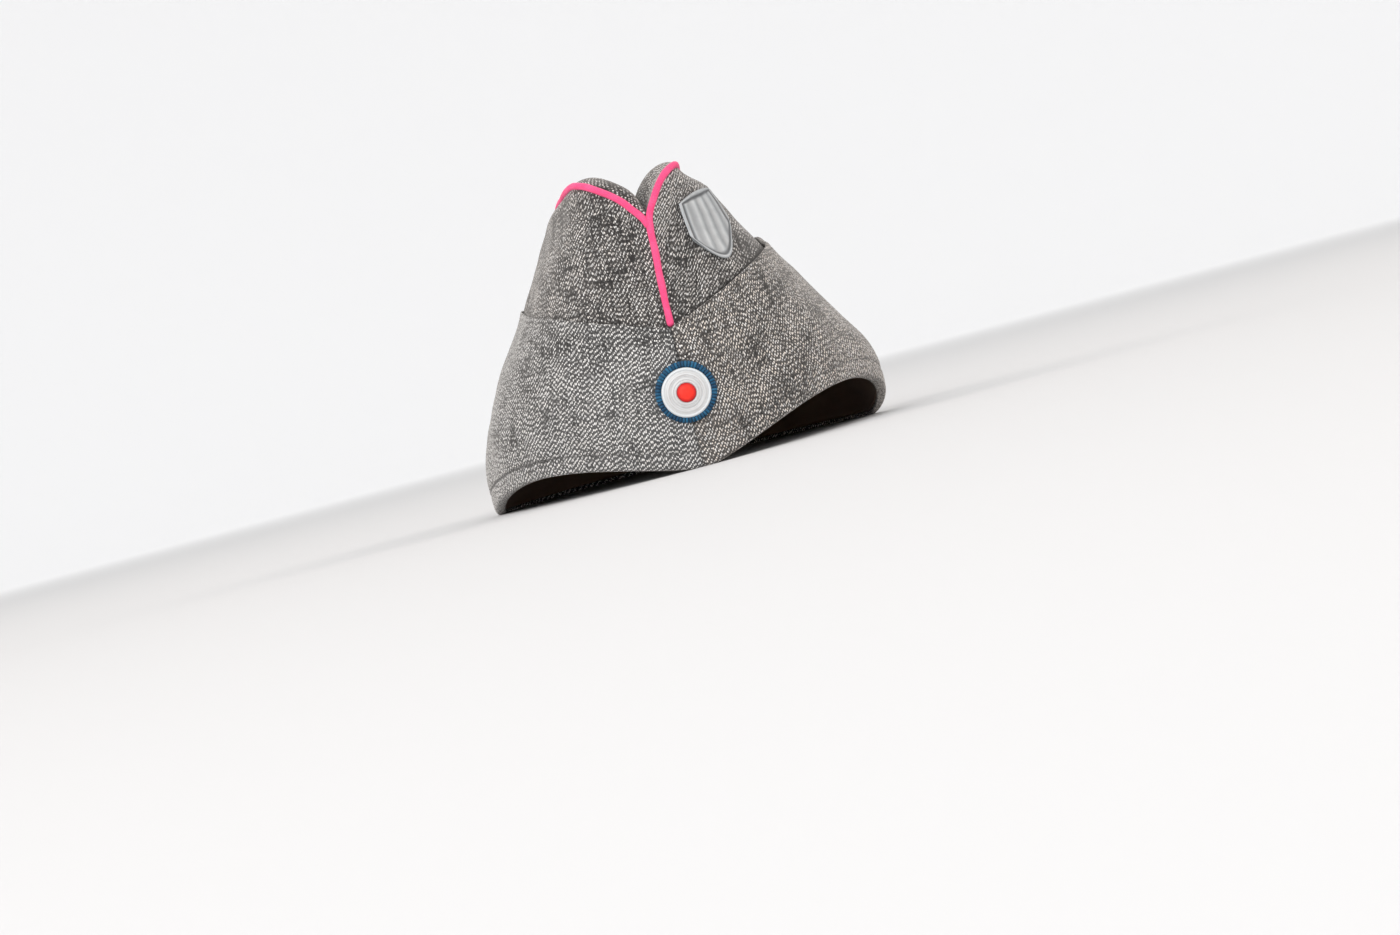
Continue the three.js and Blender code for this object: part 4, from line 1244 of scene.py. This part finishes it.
# The floor is white paper that bends up into a round wall, under soft studio light. Near the middle it
# is painted grey, as painted shade that evens out the lamps' stronger light there.
# Its lengths, and those of the lights and the camera, are in metres.
FLOOR_RADIUS, BEND_RADIUS, WALL_TOP = 8.0, 3.0, 5.0
FLOOR_RINGS = (0.0, 1.0, 3.0, 6.0)
BEND_STEPS = 13
PAPER_COLUMNS = 96
PAPER_NEAR_SHADE, PAPER_FAR = (0.65, 0.65, 0.653, 1), (0.96, 0.96, 0.965, 1)
PAPER_PALER = {1: 2.0, 2: 6.5}
bend = np.linspace(0, math.pi / 2, BEND_STEPS)
profile = np.vstack((
    [(reach, 0.0) for reach in FLOOR_RINGS],
    np.stack((FLOOR_RADIUS + BEND_RADIUS * np.sin(bend), BEND_RADIUS * (1 - np.cos(bend))), -1),
    [(FLOOR_RADIUS + BEND_RADIUS, WALL_TOP)],
)) / MM


def paper_round(around, out):
    """The paper, turned round the middle of the floor."""
    phase = 2 * np.pi * around
    at = np.rint(out * (len(profile) - 1)).astype(int)
    reach, height = profile[at, 0], profile[at, 1]
    return np.stack((reach * np.cos(phase), reach * np.sin(phase) - CENTRE_Y, height), -1)


stage = lay_grid("studio_paper", PAPER_COLUMNS, len(profile) - 1, paper_round)
edit_whole(JOIN, TURN_OVER)
paper, start, shader = new_material("white_paper", Roughness=0.95)
place = start.node("TexCoord", output="Object")
reach = start.node("VectorMath", {"operation": "LENGTH"}, {0: place}, "Value")
far = start.node("MapRange", {"interpolation_type": "SMOOTHSTEP"}, {0: reach, **PAPER_PALER})
drive(shader, Base_Color=far.blend(PAPER_NEAR_SHADE, PAPER_FAR))
stage.data.materials.append(paper)

LIGHTS = [
    # name, place, size, power, colour
    ("key", (-0.8, -2.4, 1.1), 1.2, 24, (0.98, 0.99, 1.0)),
    ("left", (-2.4, -0.3, 1.7), 1.3, 17, (1.0, 0.87, 0.78)),
    ("right", (2.4, -0.3, 1.7), 1.3, 15, (1.0, 0.87, 0.78)),
]
LIT_POINT = Vector((0, 0, 0.05))
for name, place, size, power, colour in LIGHTS:
    bpy.ops.object.light_add(type="AREA", location=place)
    lamp = bpy.context.object
    lamp.name = f"light_{name}"
    lamp.data.energy, lamp.data.size, lamp.data.color = power, size, colour
    lamp.rotation_euler = (LIT_POINT - Vector(place)).to_track_quat("-Z", "Y").to_euler()
world = bpy.data.worlds.new("studio")
bpy.context.scene.world = world
world.use_nodes = True
world.node_tree.nodes["Background"].inputs["Color"].default_value = (1, 1, 1, 1)
world.node_tree.nodes["Background"].inputs["Strength"].default_value = 0.97
bpy.context.scene.view_settings.view_transform = "Standard"

# The camera looks at the front from just above the floor, turned as the cap is tilted in wear.
AZIMUTH, ELEVATION, ROLL = math.radians(-2), math.radians(1.3), math.radians(15)
DISTANCE, TARGET = 1.25, Vector((-0.0017, -0.1, 0))
back = Vector((
    math.sin(AZIMUTH) * math.cos(ELEVATION),
    -math.cos(AZIMUTH) * math.cos(ELEVATION),
    math.sin(ELEVATION),
))
bpy.ops.object.camera_add(location=TARGET + back * DISTANCE)
camera = bpy.context.object
turn = (-back).to_track_quat("-Z", "Y") @ Quaternion((0, 0, 1), -ROLL)
camera.rotation_euler = turn.to_euler()
camera.data.lens, camera.data.sensor_width = 85, 36
camera.data.clip_start, camera.data.clip_end = 0.05, 50
bpy.context.scene.camera = camera
